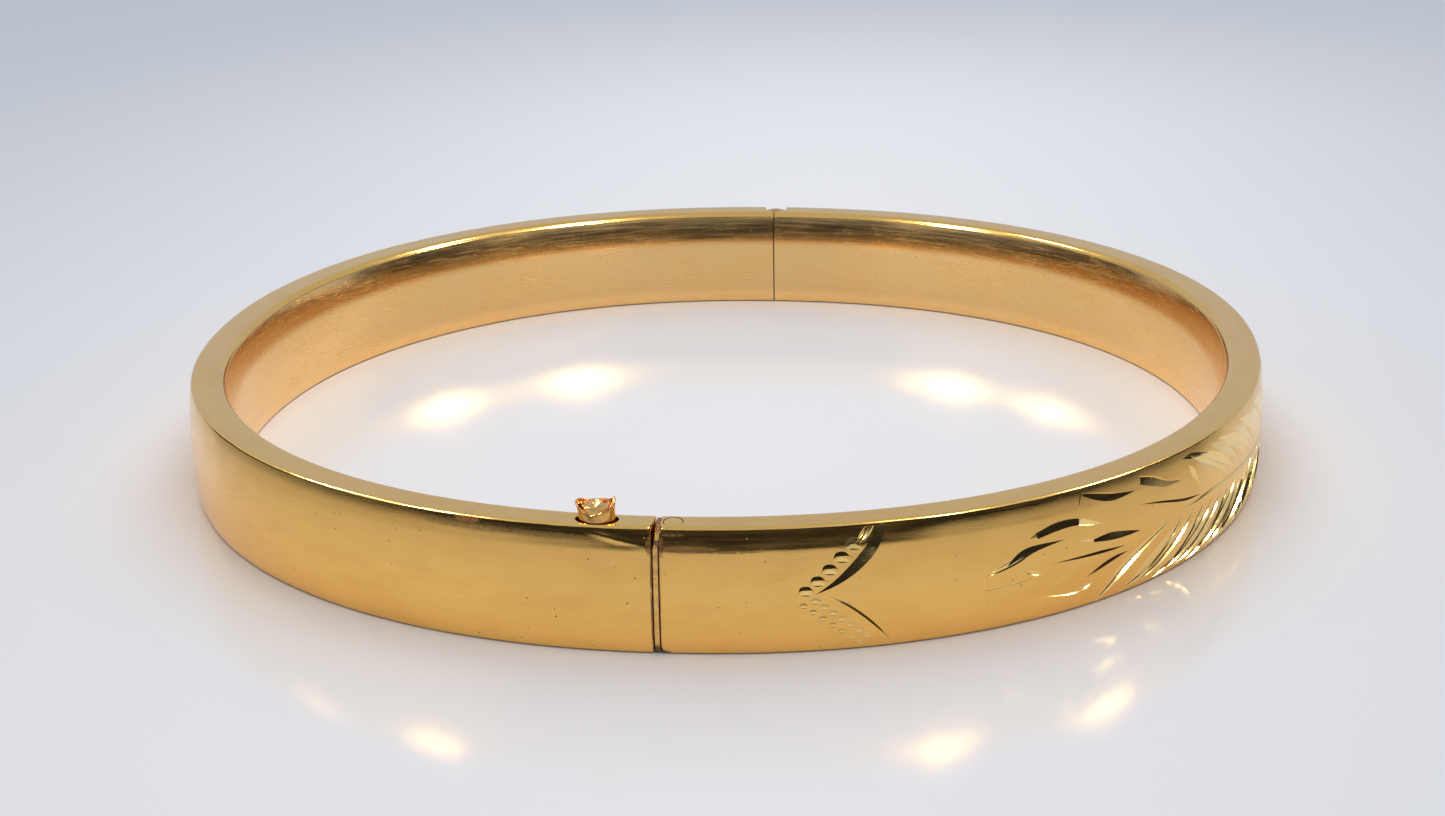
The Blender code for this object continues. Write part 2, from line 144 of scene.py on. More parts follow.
def summed(slope):
    step = SIDE_Z[1] - SIDE_Z[0]
    total = np.concatenate([[0], np.cumsum((slope[1:] + slope[:-1]) / 2 * step)])
    return total - np.interp(HEIGHT / 2, SIDE_Z, total)


SUMS = [summed(slope) for slope in side_slopes()]
INNER_SUM = summed(0.175 * ease(3.95, 4.75, SIDE_Z) + 0.05 * ease(4.8, 5.4, SIDE_Z)
                   + 0.08 * ease(5.3, HEIGHT - SHEET, SIDE_Z) - 0.20 * ease(1.1, 0.1, SIDE_Z))


def inner_depth(z):
    """Depth of the wrist side, which falls back towards its upper and lower edges."""
    top = float(np.interp(HEIGHT - SHEET, SIDE_Z, INNER_SUM))
    return LIP_DEPTH + top - np.interp(z, SIDE_Z, INNER_SUM)


def crown_share(s):
    """How strongly the upper crown shows: it fades away from the clasp, as if polished away."""
    s = np.asarray(s, float)
    engraved = 1 - 0.62 * ease(10.4, 14.5, s)
    plain = 1 - 0.45 * ease(0.6, 3.2, -s) - 0.33 * ease(3.2, 9.0, -s) + 0.15 * ease(20, 60, -s)
    return np.where(s > 0, engraved, plain)


def ripple(s, z):
    """Slow hand-made unevenness of the polished face."""
    slow = 0.006 * np.sin(s * 0.83 + 0.4 * z) * np.sin(s * 0.31 + 1.3)
    return slow + 0.004 * np.sin(s * 2.1 - z * 0.9 + 0.7)


def seam_ridge(s, z):
    """A slanted ridge on the plain half's crown beside the seam, and a shallow hollow on the other half's."""
    across = (z - 5.72) * 0.976 - (s + 1.75) * -0.216
    along = (s + 1.75) * 0.976
    ridge = 0.034 * np.exp(-((across / 0.13) ** 2)) * np.exp(-((along / 1.25) ** 4))
    hollow = 0.010 * np.exp(-(((z - 5.30) / 0.14) ** 2)) * np.exp(-(((s - 1.5) / 1.1) ** 2))
    return ridge - hollow


def side_depth(s, z):
    s = np.asarray(s, float)
    face, upper, lower = (np.interp(z, SIDE_Z, row) for row in SUMS)
    return face + crown_share(s) * upper + lower + 0.036 + ripple(s, z) - seam_ridge(s, z)


STEP = 0.01


def side_slope(s, z):
    """How fast the outer side's depth grows with height."""
    return (side_depth(s, z + STEP) - side_depth(s, z - STEP)) / (2 * STEP)


def side_turn(s, z):
    """How fast the outer side's depth grows along the band."""
    return (side_depth(s + STEP, z) - side_depth(s - STEP, z)) / (2 * STEP)


# ---------------------------------------------------------------- worn ends of the two halves
def seam_shift(depth, z, side):
    """How far the end at the seam is worn back from its plane, on each half."""
    corner = ease(5.15, 6.3, z) * (1 - ease(0.35, 1.0, depth))
    shift = (0.10 if side > 0 else 0.12) * corner
    notch = ease(6.2, HEIGHT, z) * ease(1.9, 2.25, depth)
    shift = shift + 0.06 * notch
    if side > 0:
        shift = shift + 0.12 * (1 - ease(0.08, 0.34, z)) * (1 - ease(0.3, 0.7, depth))
    else:
        shift = shift + 0.05 * (1 - ease(0.05, 0.5, z)) * (1 - ease(0.3, 0.7, depth))
    return shift


def groove_reach(depth):
    """Half the width of the hinge's groove at a depth."""
    inside = GROOVE_RADIUS**2 - (depth - BARREL_RADIUS) ** 2
    return np.maximum(HINGE_HALF_GAP, np.sqrt(np.maximum(inside, 0)))


END_ZONE = 2.5


def trimmed(s, depth, z, side):
    """Moves nominal places near both ends so that the ends follow the worn seam and the hinge's groove."""
    along = np.abs(s)
    start, end = half_ends(side)
    near = np.clip((start + END_ZONE - along) / END_ZONE, 0, 1)
    along = along + seam_shift(depth, z, side) * near
    far = np.clip((along - (end - END_ZONE)) / END_ZONE, 0, 1)
    along = along - (groove_reach(depth) - HINGE_HALF_GAP) * far
    return along * side


def end_wear(s, side):
    """How far the skin falls back just before an end, as a small worn radius."""
    along = np.abs(s)
    start, end = half_ends(side)
    room = np.minimum(along - start, end - along)
    t = np.clip(1 - room / END_WEAR, 0, 1)
    return END_WEAR * (1 - np.sqrt(1 - t * t))


# ---------------------------------------------------------------- contours of the outer shell
FACE_ROWS = np.concatenate([
    np.linspace(FACE_TOP, CREASE + 0.2, 13), np.linspace(CREASE + 0.13, CREASE - 0.09, 5),
    np.linspace(CREASE - 0.25, 1.25, 14), np.linspace(1.05, FACE_FOOT, 8),
])


def on_arc(depth, z, radius, inwards, up):
    """A point on an arc round (depth, z), with its normal."""
    return depth + radius * inwards, z + radius * up, inwards, up


def shell_contour(s):
    """Outer contour at s from the top lip to the bottom lip, and the first and last row of the face.

    Its rows are depth, z, and the normal's depth and z.
    """
    corner = LIP_DEPTH - LIP_DRAW - LIP_RADIUS * math.cos(LIP_TILT)
    points = [(LIP_DEPTH, HEIGHT - SHEET, math.cos(LIP_TILT), math.sin(LIP_TILT))]
    for angle in np.linspace(LIP_TILT, math.pi / 2, 9):
        points.append(on_arc(corner, HEIGHT - LIP_RADIUS, LIP_RADIUS, math.cos(angle), math.sin(angle)))
    worn = 0.012 * math.sin(s * 3.7) * math.sin(s * 1.3 + 2) + 0.01 * math.sin(s * 7.9 + 1)
    tilt = math.atan(float(side_slope(s, FACE_TOP)))
    radius = (HEIGHT - FACE_TOP) / (1 - math.sin(tilt))
    edge = float(side_depth(s, FACE_TOP)) + radius * math.cos(tilt)
    for share in (0.15, 0.4, 0.65, 0.85):
        points.append((corner + (edge - corner) * share, HEIGHT, 0, 1))
    for angle in np.linspace(math.pi / 2, tilt, 8)[:-1]:
        wear = worn * math.sin(2 * (angle - tilt)) * 0.8
        reach = radius - max(wear, 0)
        points.append(on_arc(edge, HEIGHT - radius, reach, -math.cos(angle), math.sin(angle)))
    first = len(points)
    for z in FACE_ROWS:
        slope = float(side_slope(s, z))
        size = math.hypot(1, slope)
        points.append((float(side_depth(s, z)), z, -1 / size, slope / size))
    last = len(points) - 1
    tilt = math.atan(-float(side_slope(s, FACE_FOOT)))
    radius = FACE_FOOT / (1 - math.sin(tilt))
    edge = float(side_depth(s, FACE_FOOT)) + radius * math.cos(tilt)
    for angle in np.linspace(tilt, math.pi / 2, 6)[1:]:
        points.append(on_arc(edge, radius, radius, -math.cos(angle), -math.sin(angle)))
    for share in (0.35, 0.7):
        points.append((edge + (FOOT_END - edge) * share, 0, 0, -1))
    for angle in np.radians(np.linspace(90, 10, 4)):
        inwards, down = math.cos(angle), math.sin(angle)
        depth = FOOT_END + FOOT_LIP_RADIUS * (inwards - 1)
        points.append((depth, FOOT_LIP_RADIUS * (1 - down), inwards, -down))
    points.append((FOOT_END, SHEET, 1, 0))
    return np.array(points), first, last


UNDER_LIP = HEIGHT - SHEET
INNER_ROWS = np.concatenate([[UNDER_LIP], np.linspace(UNDER_LIP - 0.05, SHEET + 0.05, 12), [SHEET]])
LIP_MIDDLE = 1.4
LIP_EDGE = 0.02


def inner_contour(s):
    """The inside of the sheet, in the same direction as the outer contour."""
    points = [(LIP_DEPTH - LIP_EDGE, UNDER_LIP), (LIP_MIDDLE, UNDER_LIP)]
    points += [(float(side_depth(s, z)) + WALL, z) for z in INNER_ROWS]
    return np.array(points + [(LIP_MIDDLE, SHEET), (FOOT_END - LIP_EDGE, SHEET)])


def stations(side):
    """The values of s where a half's contours lie, closer together near both ends."""
    start, end = half_ends(side)
    near = np.array([0, 0.012, 0.035, 0.06, 0.09, 0.16, 0.3, 0.5, 0.75, 1.05, 1.4, 1.8])
    clasp = np.arange(start + 2.05, start + 5.0, 0.22)
    middle = np.linspace(start + 5.2, end - 2.2, 228)
    return np.concatenate([start + near, clasp, middle, end - near[::-1]]) * side


def new_object(name, points, faces, materials=()):
    mesh = bpy.data.meshes.new(name)
    mesh.from_pydata([tuple(point) for point in points], [], faces)
    mesh.validate()
    item = bpy.data.objects.new(name, mesh)
    bpy.context.scene.collection.objects.link(item)
    for material in materials:
        mesh.materials.append(material)
    return item


def zipped(first, second, points):
    """Triangles between two rows of points that start and end side by side."""
    def lengths(row):
        steps = [np.linalg.norm(points[b] - points[a]) for a, b in zip(row, row[1:])]
        total = np.concatenate([[0], np.cumsum(steps)])
        return total / total[-1]

    run_a, run_b = lengths(first), lengths(second)
    a = b = 0
    faces = []
    while a < len(first) - 1 or b < len(second) - 1:
        if b == len(second) - 1 or (a < len(first) - 1 and run_a[a + 1] <= run_b[b + 1]):
            faces.append((first[a], first[a + 1], second[b]))
            a += 1
        else:
            faces.append((first[a], second[b + 1], second[b]))
            b += 1
    return faces


def tube_faces(height, width, columns):
    """Faces between rows of points that each close round a section, in the columns asked for."""
    faces = []
    for start in range(0, (height - 1) * width, width):
        for column in columns:
            after = (column + 1) % width
            faces.append((start + column, start + after, start + width + after, start + width + column))
    return faces


def shell_grid(side, with_face):
    """Points and faces of a half's outer shell, with its face left open for the engraving where asked."""
    rows = []
    for s in stations(side):
        outer, first, last = shell_contour(s)
        wear = float(end_wear(s, side)) * np.clip((FOOT_END - outer[:, 0]) / 0.3, 0, 1)
        depth = outer[:, 0] - outer[:, 2] * wear
        z = outer[:, 1] - outer[:, 3] * wear
        inner = inner_contour(s)
        depth = np.concatenate([depth, inner[::-1, 0]])
        z = np.concatenate([z, inner[::-1, 1]])
        place = trimmed(np.full(len(z), s), depth, z, side)
        rows.append(on_band(place, depth, z))
        count = len(outer)
    width = len(rows[0])
    points = np.concatenate(rows)
    columns = [k for k in range(width) if with_face or not first <= k < last]
    faces = tube_faces(len(rows), width, columns)
    for row in (0, len(rows) - 1):
        outer_row = [row * width + column for column in range(count)]
        inner_row = [row * width + column for column in range(width - 1, count - 1, -1)]
        caps = zipped(outer_row, inner_row, points)
        faces += caps if row == 0 else [tuple(reversed(face)) for face in caps]
    return points, faces


# ---------------------------------------------------------------- engraving
# A stroke is its points (s, z, width), its depth, and its lean: where the valley lies across it, from -1, the
# left edge of its direction of travel, to 1, the right edge.
CHEVRON = [
    ([(7.50, 2.98, 0.0), (8.45, 3.50, 0.26), (9.35, 4.20, 0.50), (10.1, 5.00, 0.58), (10.55, 5.70, 0.44),
      (10.75, 6.16, 0.20)], 0.12, -0.80),
    ([(7.95, 2.90, 0.02), (8.95, 2.42, 0.12), (9.85, 1.74, 0.15), (10.6, 1.02, 0.13), (11.3, 0.20, 0.02)],
     0.06, -0.5),
    ([(9.42, 5.40, 0.02), (9.72, 5.80, 0.14), (9.95, 6.12, 0.05)], 0.05, 0.5),
    ([(9.80, 5.42, 0.02), (10.1, 5.82, 0.12), (10.33, 6.14, 0.05)], 0.05, -0.6),
    ([(9.62, 5.36, 0.02), (9.92, 5.78, 0.10), (10.15, 6.12, 0.03)], 0.04, 0.4),
]
NOTCH_COUNT = 5
NOTCH_LINE = ((6.92, 3.26), (9.18, 5.48))
BEAD_COUNT = 7
BEAD_UPPER = ((7.40, 2.72), (9.93, 0.78))
BEAD_LOWER = ((6.86, 2.50), (9.63, 0.40))
SPRAY = [
    ([(15.85, 2.90, 0.0), (16.6, 3.08, 0.22), (17.3, 3.30, 0.36), (18.0, 3.52, 0.30), (18.5, 3.66, 0.0)],
     0.022, 0.5),
    ([(16.1, 2.86, 0.0), (17.0, 3.14, 0.05), (17.9, 3.50, 0.0)], 0.02, -0.4),
    ([(16.3, 3.08, 0.0), (17.1, 3.34, 0.05), (17.8, 3.62, 0.0)], 0.02, -0.4),
    ([(17.1, 3.12, 0.0), (17.55, 3.42, 0.30), (18.1, 3.68, 0.46), (18.9, 3.86, 0.30), (20.5, 3.94, 0.0)],
     0.105, -0.72),
    ([(16.0, 2.16, 0.03), (17.2, 2.2, 0.10), (18.4, 2.27, 0.04)], 0.03, 0.5),
    ([(15.88, 2.86, 0.03), (15.92, 2.52, 0.07), (16.0, 2.2, 0.03)], 0.02, 0.0),
    ([(18.15, 2.78, 0.02), (18.6, 2.62, 0.24), (19.35, 2.32, 0.0)], 0.05, 0.6),
    ([(18.85, 4.46, 0.34), (19.8, 4.66, 0.44), (20.7, 4.72, 0.42), (21.42, 4.66, 0.36)], 0.10, -0.72),
    ([(21.46, 4.62, 0.40), (22.1, 4.45, 0.28), (23.1, 4.16, 0.0)], 0.05, 0.7),
    ([(21.2, 3.66, 0.0), (21.8, 3.58, 0.12), (22.4, 3.47, 0.14)], 0.03, 0.6),
    ([(22.42, 3.44, 0.16), (23.6, 3.40, 0.42), (24.7, 3.28, 0.30), (25.8, 3.14, 0.0)], 0.10, -0.7),
    ([(19.75, 2.84, 0.0), (21.5, 2.78, 0.12), (23.2, 2.72, 0.17), (24.7, 2.64, 0.0)], 0.05, -0.5),
    ([(22.0, 1.62, 0.0), (23.1, 1.98, 0.20), (24.0, 2.2, 0.18), (24.9, 2.3, 0.0)], 0.06, -0.6),
    ([(23.0, 0.16, 0.04), (23.6, 0.72, 0.40), (24.5, 1.42, 0.58), (25.6, 2.0, 0.50), (26.9, 2.52, 0.34),
      (28.4, 3.02, 0.0)], 0.10, 0.66),
    ([(19.2, 1.24, 0.03), (20.8, 1.03, 0.12), (21.8, 1.10, 0.26), (22.7, 1.38, 0.0)], 0.05, 0.6),
    ([(21.62, 6.14, 0.04), (21.5, 5.8, 0.07), (21.42, 5.45, 0.02)], 0.02, 0.0),
    ([(21.75, 5.92, 0.16), (22.6, 5.66, 0.36), (23.6, 5.42, 0.40), (24.5, 5.36, 0.22), (25.3, 5.34, 0.0)],
     0.062, -0.7),
    ([(25.75, 5.74, 0.42), (26.8, 5.44, 0.50), (27.8, 5.08, 0.36), (29.2, 4.84, 0.0)], 0.075, -0.7),
    ([(29.3, 5.9, 0.0), (30.6, 5.78, 0.30), (32.3, 5.48, 0.0)], 0.08, -0.7),
    ([(30.0, 5.45, 0.0), (30.55, 4.8, 0.42), (31.2, 4.05, 0.0)], 0.06, 0.5),
    ([(25.65, 4.52, 0.0), (27.6, 4.16, 0.12), (29.6, 3.72, 0.16), (31.4, 3.5, 0.0)], 0.05, -0.5),
    ([(28.6, 3.08, 0.0), (32.5, 3.34, 0.16), (37.5, 3.24, 0.20), (43.0, 3.14, 0.18), (48.6, 3.18, 0.0)],
     0.06, 0.2),
]
FEATHER_COUNT = 18
FEATHER_PITCH = 1.12
FEATHER_START = 24.9
LEAF_START = 29.2
MIDDLE = 50.03


def feathers():
    """Two rows of leaf cuts along the stem, the lower row starting nearer to the clasp."""
    cuts = []
    for number in range(FEATHER_COUNT):
        s = FEATHER_START + FEATHER_PITCH * number
        sway = 0.14 * math.sin(number * 2.3)
        feather = [(s, 0.30 + sway, 0.10), (s + 1.2, 0.84 + sway, 0.66), (s + 2.6, 1.56 + sway, 0.74),
                   (s + 3.8, 2.26 + sway / 2, 0.46), (s + 4.6, 2.90, 0.0)]
        cuts.append((feather, 0.10, 0.78))
        if number % 3 == 1:
            slit = [(s + 1.5, 0.52 + sway, 0.0), (s + 2.6, 0.96 + sway, 0.24), (s + 3.8, 1.66 + sway, 0.0)]
            cuts.append((slit, 0.05, -0.7))
    for number in range(1, FEATHER_COUNT - 3):
        s = LEAF_START + FEATHER_PITCH * number
        sway = 0.12 * math.sin(number * 1.9 + 1)
        leaf = [(s, 5.74 + sway, 0.06), (s + 1.2, 5.30 + sway, 0.52), (s + 2.5, 4.74 + sway, 0.56),
                (s + 3.6, 4.14 + sway / 2, 0.32), (s + 4.4, 3.60, 0.0)]
        cuts.append((leaf, 0.08, -0.7 if number % 3 == 0 else 0.6))
    return cuts


def scale_mark(s, z, size, depth):
    """A small punched scale: a cap that faces up above a hollow that faces down."""
    cap = [(s - 0.30 * size, z - 0.16 * size, 0.02), (s - 0.10 * size, z + 0.06 * size, 0.26 * size),
           (s + 0.32 * size, z + 0.08 * size, 0.28 * size), (s + 0.62 * size, z - 0.06 * size, 0.03)]
    bowl = [(s - 0.22 * size, z - 0.36 * size, 0.02), (s + 0.08 * size, z - 0.30 * size, 0.34 * size),
            (s + 0.40 * size, z - 0.34 * size, 0.26 * size), (s + 0.62 * size, z - 0.42 * size, 0.02)]
    return [(cap, depth, -0.8), (bowl, depth * 0.40, 0.6)]


def between(ends, share):
    """The place at a share of the way from one (s, z) to another."""
    (s, z), (s_end, z_end) = ends
    return s + (s_end - s) * share, z + (z_end - z) * share


def chevron_marks():
    """The row of notches along the upper arm and the double row of beads along the lower arm."""
    marks = []
    for number in range(NOTCH_COUNT):
        share = number / (NOTCH_COUNT - 1)
        s, _ = between(NOTCH_LINE, share)
        _, z = between(NOTCH_LINE, share**1.12)
        marks += scale_mark(s, z, 0.70 + 0.12 * share, 0.042)
    for number in range(BEAD_COUNT):
        share = number / (BEAD_COUNT - 1)
        for ends, size, depth in ((BEAD_UPPER, 0.46, 0.017), (BEAD_LOWER, 0.38, 0.019)):
            marks += scale_mark(*between(ends, share), size, depth)
    return marks


def mirrored(strokes):
    """The same strokes on the back of the half, mirrored about its middle."""
    result = []
    for points, depth, lean in strokes:
        result.append(([(2 * MIDDLE - s, z, width) for s, z, width in points], depth, -lean))
    return result


def smooth_line(points, steps):
    """A Catmull-Rom line through the points, including their widths."""
    row = np.array(points, float)
    row = np.concatenate([[2 * row[0] - row[1]], row, [2 * row[-1] - row[-2]]])
    line = []
    for a, b, c, d in zip(row, row[1:], row[2:], row[3:]):
        square, cube = 2 * a - 5 * b + 4 * c - d, 3 * b - a - 3 * c + d
        line += [0.5 * (2 * b + (c - a) * t + square * t**2 + cube * t**3) for t in np.arange(steps) / steps]
    line.append(row[-2])
    line = np.array(line)
    line[:, 2] = np.maximum(line[:, 2], 0)
    return line


SLACK = 0.004


class Cut:
    """One stroke as a strip: its left edge, valley and right edge."""

    def __init__(self, points, depth, lean):
        steps = max(3, round(16 / (len(points) - 1)))
        line = smooth_line(points, steps)
        along = np.gradient(line[:, :2], axis=0)
        along /= np.maximum(np.linalg.norm(along, axis=1), 1e-9)[:, None]
        across = np.stack([-along[:, 1], along[:, 0]], -1)
        half = line[:, 2:3] / 2
        self.left = line[:, :2] + across * half
        self.right = line[:, :2] - across * half
        self.valley = line[:, :2] - across * half * lean
        widest = max(line[:, 2].max(), 1e-6)
        self.depth = depth * np.minimum(1, (line[:, 2] / widest) ** 0.8)
        sides = np.concatenate([self.left, self.right])
        self.low, self.high = sides.min(0) - 0.02, sides.max(0) + 0.02

    def depth_at(self, places):
        """How deep the cut is at each place, 0 outside it."""
        result = np.zeros(len(places))
        near = np.all((places >= self.low) & (places <= self.high), axis=1)
        if not near.any():
            return result
        at = places[near]
        best = np.zeros(len(at))
        for edge in (self.left, self.right):
            for k in range(len(edge) - 1):
                ahead = k + 1
                corners = ((edge[k], 0), (edge[ahead], 0), (self.valley[ahead], self.depth[ahead]),
                           (self.valley[k], self.depth[k]))
                for one, two, three in ((0, 1, 2), (0, 2, 3)):
                    (a, da), (b, db), (c, dc) = corners[one], corners[two], corners[three]
                    area = (b[0] - a[0]) * (c[1] - a[1]) - (c[0] - a[0]) * (b[1] - a[1])
                    if abs(area) < 1e-9:
                        continue
                    wb = ((at[:, 0] - a[0]) * (c[1] - a[1]) - (c[0] - a[0]) * (at[:, 1] - a[1])) / area
                    wc = ((b[0] - a[0]) * (at[:, 1] - a[1]) - (at[:, 0] - a[0]) * (b[1] - a[1])) / area
                    inside = (wb >= -SLACK) & (wc >= -SLACK) & (wb + wc <= 1 + SLACK)
                    best = np.where(inside, np.maximum(best, da + wb * (db - da) + wc * (dc - da)), best)
        result[near] = best
        return result


def engraved_cuts():
    strokes = CHEVRON + chevron_marks() + SPRAY + feathers()
    return [Cut(*stroke) for stroke in strokes + mirrored(strokes)]


def close_to_cuts(places, cuts, reach):
    """Which places lie within reach of a point on a cut's edges or valley."""
    lines = np.concatenate([np.concatenate([cut.left, cut.valley, cut.right]) for cut in cuts])
    order = np.argsort(lines[:, 0])
    lines = lines[order]
    close = np.zeros(len(places), bool)
    for index, place in enumerate(places):
        low, high = np.searchsorted(lines[:, 0], (place[0] - reach, place[0] + reach))
        if low < high:
            close[index] = np.min(np.hypot(*(lines[low:high] - place).T)) < reach
    return close


FOOT_MARGIN = 0.03
TOP_MARGIN = 0.02
SHORTEST_EDGE = 0.004
GRID_CLEARANCE = 0.09
BORDER_WIDTH = 1e-4
LEAST_CUT = 1e-4


def border_line(s_values):
    """Along the face's top, down at the hinge, back along its foot and up at the clasp."""
    border = [(s, FACE_TOP) for s in s_values] + [(s_values[-1], z) for z in FACE_ROWS[1:]]
    border += [(s, FACE_FOOT) for s in s_values[::-1][1:]]
    return border + [(s_values[0], z) for z in FACE_ROWS[::-1][1:-1]]


def inside_face(line):
    """The line with its heights kept between the face's top and foot."""
    return np.stack([line[:, 0], np.clip(line[:, 1], FACE_FOOT + FOOT_MARGIN, FACE_TOP - TOP_MARGIN)], -1)


def without_short_steps(line):
    keep = [line[0]]
    for place in line[1:]:
        if np.hypot(*(place - keep[-1])) > SHORTEST_EDGE:
            keep.append(place)
    return keep


def flat_pattern(cuts):
    """Triangles in (s, z) between the face's border, the edges and valley of every stroke, and a grid."""
    s_values = stations(1)
    places, edges = [], []

    def add_line(line, closed=False):
        first = len(places)
        places.extend(Vector((float(s), float(z))) for s, z in line)
        edges.extend((first + k, first + k + 1) for k in range(len(line) - 1))
        if closed:
            edges.append((first + len(line) - 1, first))

    add_line(border_line(s_values), True)
    for cut in cuts:
        add_line(without_short_steps(inside_face(np.concatenate([cut.left, cut.right[::-1]]))), True)
        add_line(inside_face(cut.valley))
    grid = np.array([(s, z) for s in s_values[1:-1] for z in FACE_ROWS[1:-1]])
    grid = grid[~close_to_cuts(grid, cuts, GRID_CLEARANCE)]
    places.extend(Vector((float(s), float(z))) for s, z in grid)
    found, _, faces, _, _, _ = delaunay_2d_cdt(places, edges, [], 1, 1e-6)
    return np.array([(v[0], v[1]) for v in found]), [tuple(face) for face in faces if len(face) == 3]


def deepest(cuts, places):
    """How deep the cuts go at each place."""
    depth = np.zeros(len(places))
    for cut in cuts:
        depth = np.maximum(depth, cut.depth_at(places))
    return depth


def engraved_face(cuts):
    """The engraved half's face, cut along every stroke: its points, its faces, and which faces are cut."""
    flat, faces = flat_pattern(cuts)
    s, z = flat[:, 0], flat[:, 1]
    carve = deepest(cuts, flat)
    carve[(np.abs(z - FACE_TOP) < BORDER_WIDTH) | (np.abs(z - FACE_FOOT) < BORDER_WIDTH)] = 0
    slope = side_slope(s, z)
    size = np.hypot(1, slope)
    wear = end_wear(s, 1)
    depth = side_depth(s, z) + wear / size + carve
    height = z - wear * slope / size
    points = on_band(trimmed(s, depth - carve, height, 1), depth, height)
    corners = flat[np.array(faces)]
    turn = np.cross(corners[:, 1] - corners[:, 0], corners[:, 2] - corners[:, 0])
    faces = [face if turn[k] > 0 else face[::-1] for k, face in enumerate(faces)]
    return points, faces, deepest(cuts, corners.mean(1)) > LEAST_CUT


def base_normals(run, z):
    """Outward normals of the uncut outer side."""
    _, _, nx, ny = oval_at(run)
    turn = side_turn(run, z)
    normals = np.stack([nx - ny * turn, ny + nx * turn, side_slope(run, z)], -1)
    return normals / np.linalg.norm(normals, axis=1)[:, None]


def band_run(at):
    """The s of points near the band, found from their angle and a few corrections along the oval."""
    side = np.where(at[:, 0] < 0, -1.0, 1.0)
    around = np.arctan2(np.abs(at[:, 0]) / HALF_WIDTH, -at[:, 1] / HALF_DEPTH)
    table = np.arctan2(OVAL[1] / HALF_WIDTH, -OVAL[2] / HALF_DEPTH)
    run = np.interp(around, table, OVAL[0])
    for _ in range(3):
        x, y, nx, ny = (np.interp(run, OVAL[0], row) for row in OVAL[1:])
        off = (np.abs(at[:, 0]) - x) * -ny + (at[:, 1] - y) * nx
        run = np.clip(run + off, 0, HALF_LENGTH)
    return run * side


# ---------------------------------------------------------------- materials
MEAN_RADIUS = 32.0


class Graph:
    """A material and short ways to add its nodes."""

    def __init__(self, name):
        self.material = bpy.data.materials.new(name)
        self.material.use_nodes = True
        self.tree = self.material.node_tree
        self.shader = self.tree.nodes["Principled BSDF"]

    def put(self, socket, value):
        if isinstance(value, bpy.types.NodeSocket):
            self.tree.links.new(value, socket)
        else:
            socket.default_value = value

    def node(self, kind, inputs, **settings):
        item = self.tree.nodes.new("ShaderNode" + kind)
        for key, value in settings.items():
            setattr(item, key, value)
        for key, value in inputs.items():
            self.put(item.inputs[key], value)
        return item

    def math(self, operation, *values):
        return self.node("Math", dict(enumerate(values)), operation=operation).outputs[0]

    def times(self, first, second):
        return self.math("MULTIPLY", first, second)

    def plus(self, first, second):
        return self.math("ADD", first, second)

    def ramp(self, value, low, high, start=0.0, end=1.0):
        inputs = {"Value": value, "From Min": low, "From Max": high, "To Min": start, "To Max": end}
        return self.node("MapRange", inputs, interpolation_type="SMOOTHSTEP").outputs["Result"]

    def mix(self, share, first, second, blend="MIX"):
        item = self.node("Mix", {0: share}, data_type="RGBA", blend_type=blend)
        self.put(item.inputs[6], first)
        self.put(item.inputs[7], second)
        return item.outputs[2]

    def vector(self, x, y, z):
        return self.node("CombineXYZ", {0: x, 1: y, 2: z}).outputs[0]

    def noise(self, vector, detail, rough):
        inputs = {"Vector": vector, "Scale": 1.0, "Detail": detail, "Roughness": rough}
        return self.node("TexNoise", inputs).outputs[0]

    def band_places(self):
        """Millimetres along the band from the seam, up, and out from the middle."""
        at = self.node("TexCoord", {}).outputs["Object"]
        x, y, z = self.node("SeparateXYZ", {0: at}).outputs
        around = self.math("ARCTAN2", x, self.times(y, -1.0))
        flat = self.node("VectorMath", {0: self.vector(x, y, 0.0)}, operation="LENGTH").outputs["Value"]
        return self.times(around, MEAN_RADIUS), self.times(z, 1 / MM), self.times(flat, 1 / MM)

    def scaled(self, places, along, across):
        s, z, r = places
        return self.vector(self.times(s, along), self.times(z, across), self.times(r, across))

    def patch(self, places, centre, size):
        """1 in the middle of an oval patch on the band, fading to 0 at its edge."""
        s = self.math("DIVIDE", self.math("SUBTRACT", places[0], centre[0]), size[0])
        z = self.math("DIVIDE", self.math("SUBTRACT", places[1], centre[1]), size[1])
        spread = self.math("SQRT", self.plus(self.times(s, s), self.times(z, z)))
        return self.ramp(spread, 1.0, 0.45)


GOLD = (0.95, 0.575, 0.165, 1)
DEEP_GOLD = (0.80, 0.40, 0.10, 1)
LINING_GOLD = (0.90, 0.60, 0.26, 1)
COPPER = (0.42, 0.11, 0.05, 1)
# a reddish-brown discolouring; in the thin strips along the seam's edges it is also painted shade of the gap
# between the halves
RUST_AND_GAP_SHADE = (0.17, 0.040, 0.020, 1)
SOIL = (0.07, 0.03, 0.015, 1)
PIT = (0.17, 0.055, 0.025, 1)


def pits_in(g, places, uneven):
    """1 inside small scattered pits with ragged rims."""
    cell = g.node("TexVoronoi", {"Vector": g.scaled(places, 2.3, 2.3), "Scale": 1.0, "Randomness": 1.0})
    chance, size, _ = g.node("SeparateColor", {0: cell.outputs["Color"]}).outputs
    edge = g.plus(g.times(cell.outputs["Distance"], 0.8), g.times(uneven, 0.12))
    reach = g.plus(0.070, g.times(size, 0.06))
    return g.times(g.ramp(g.math("SUBTRACT", edge, reach), 0.03, -0.01), g.ramp(chance, 0.64, 0.68))


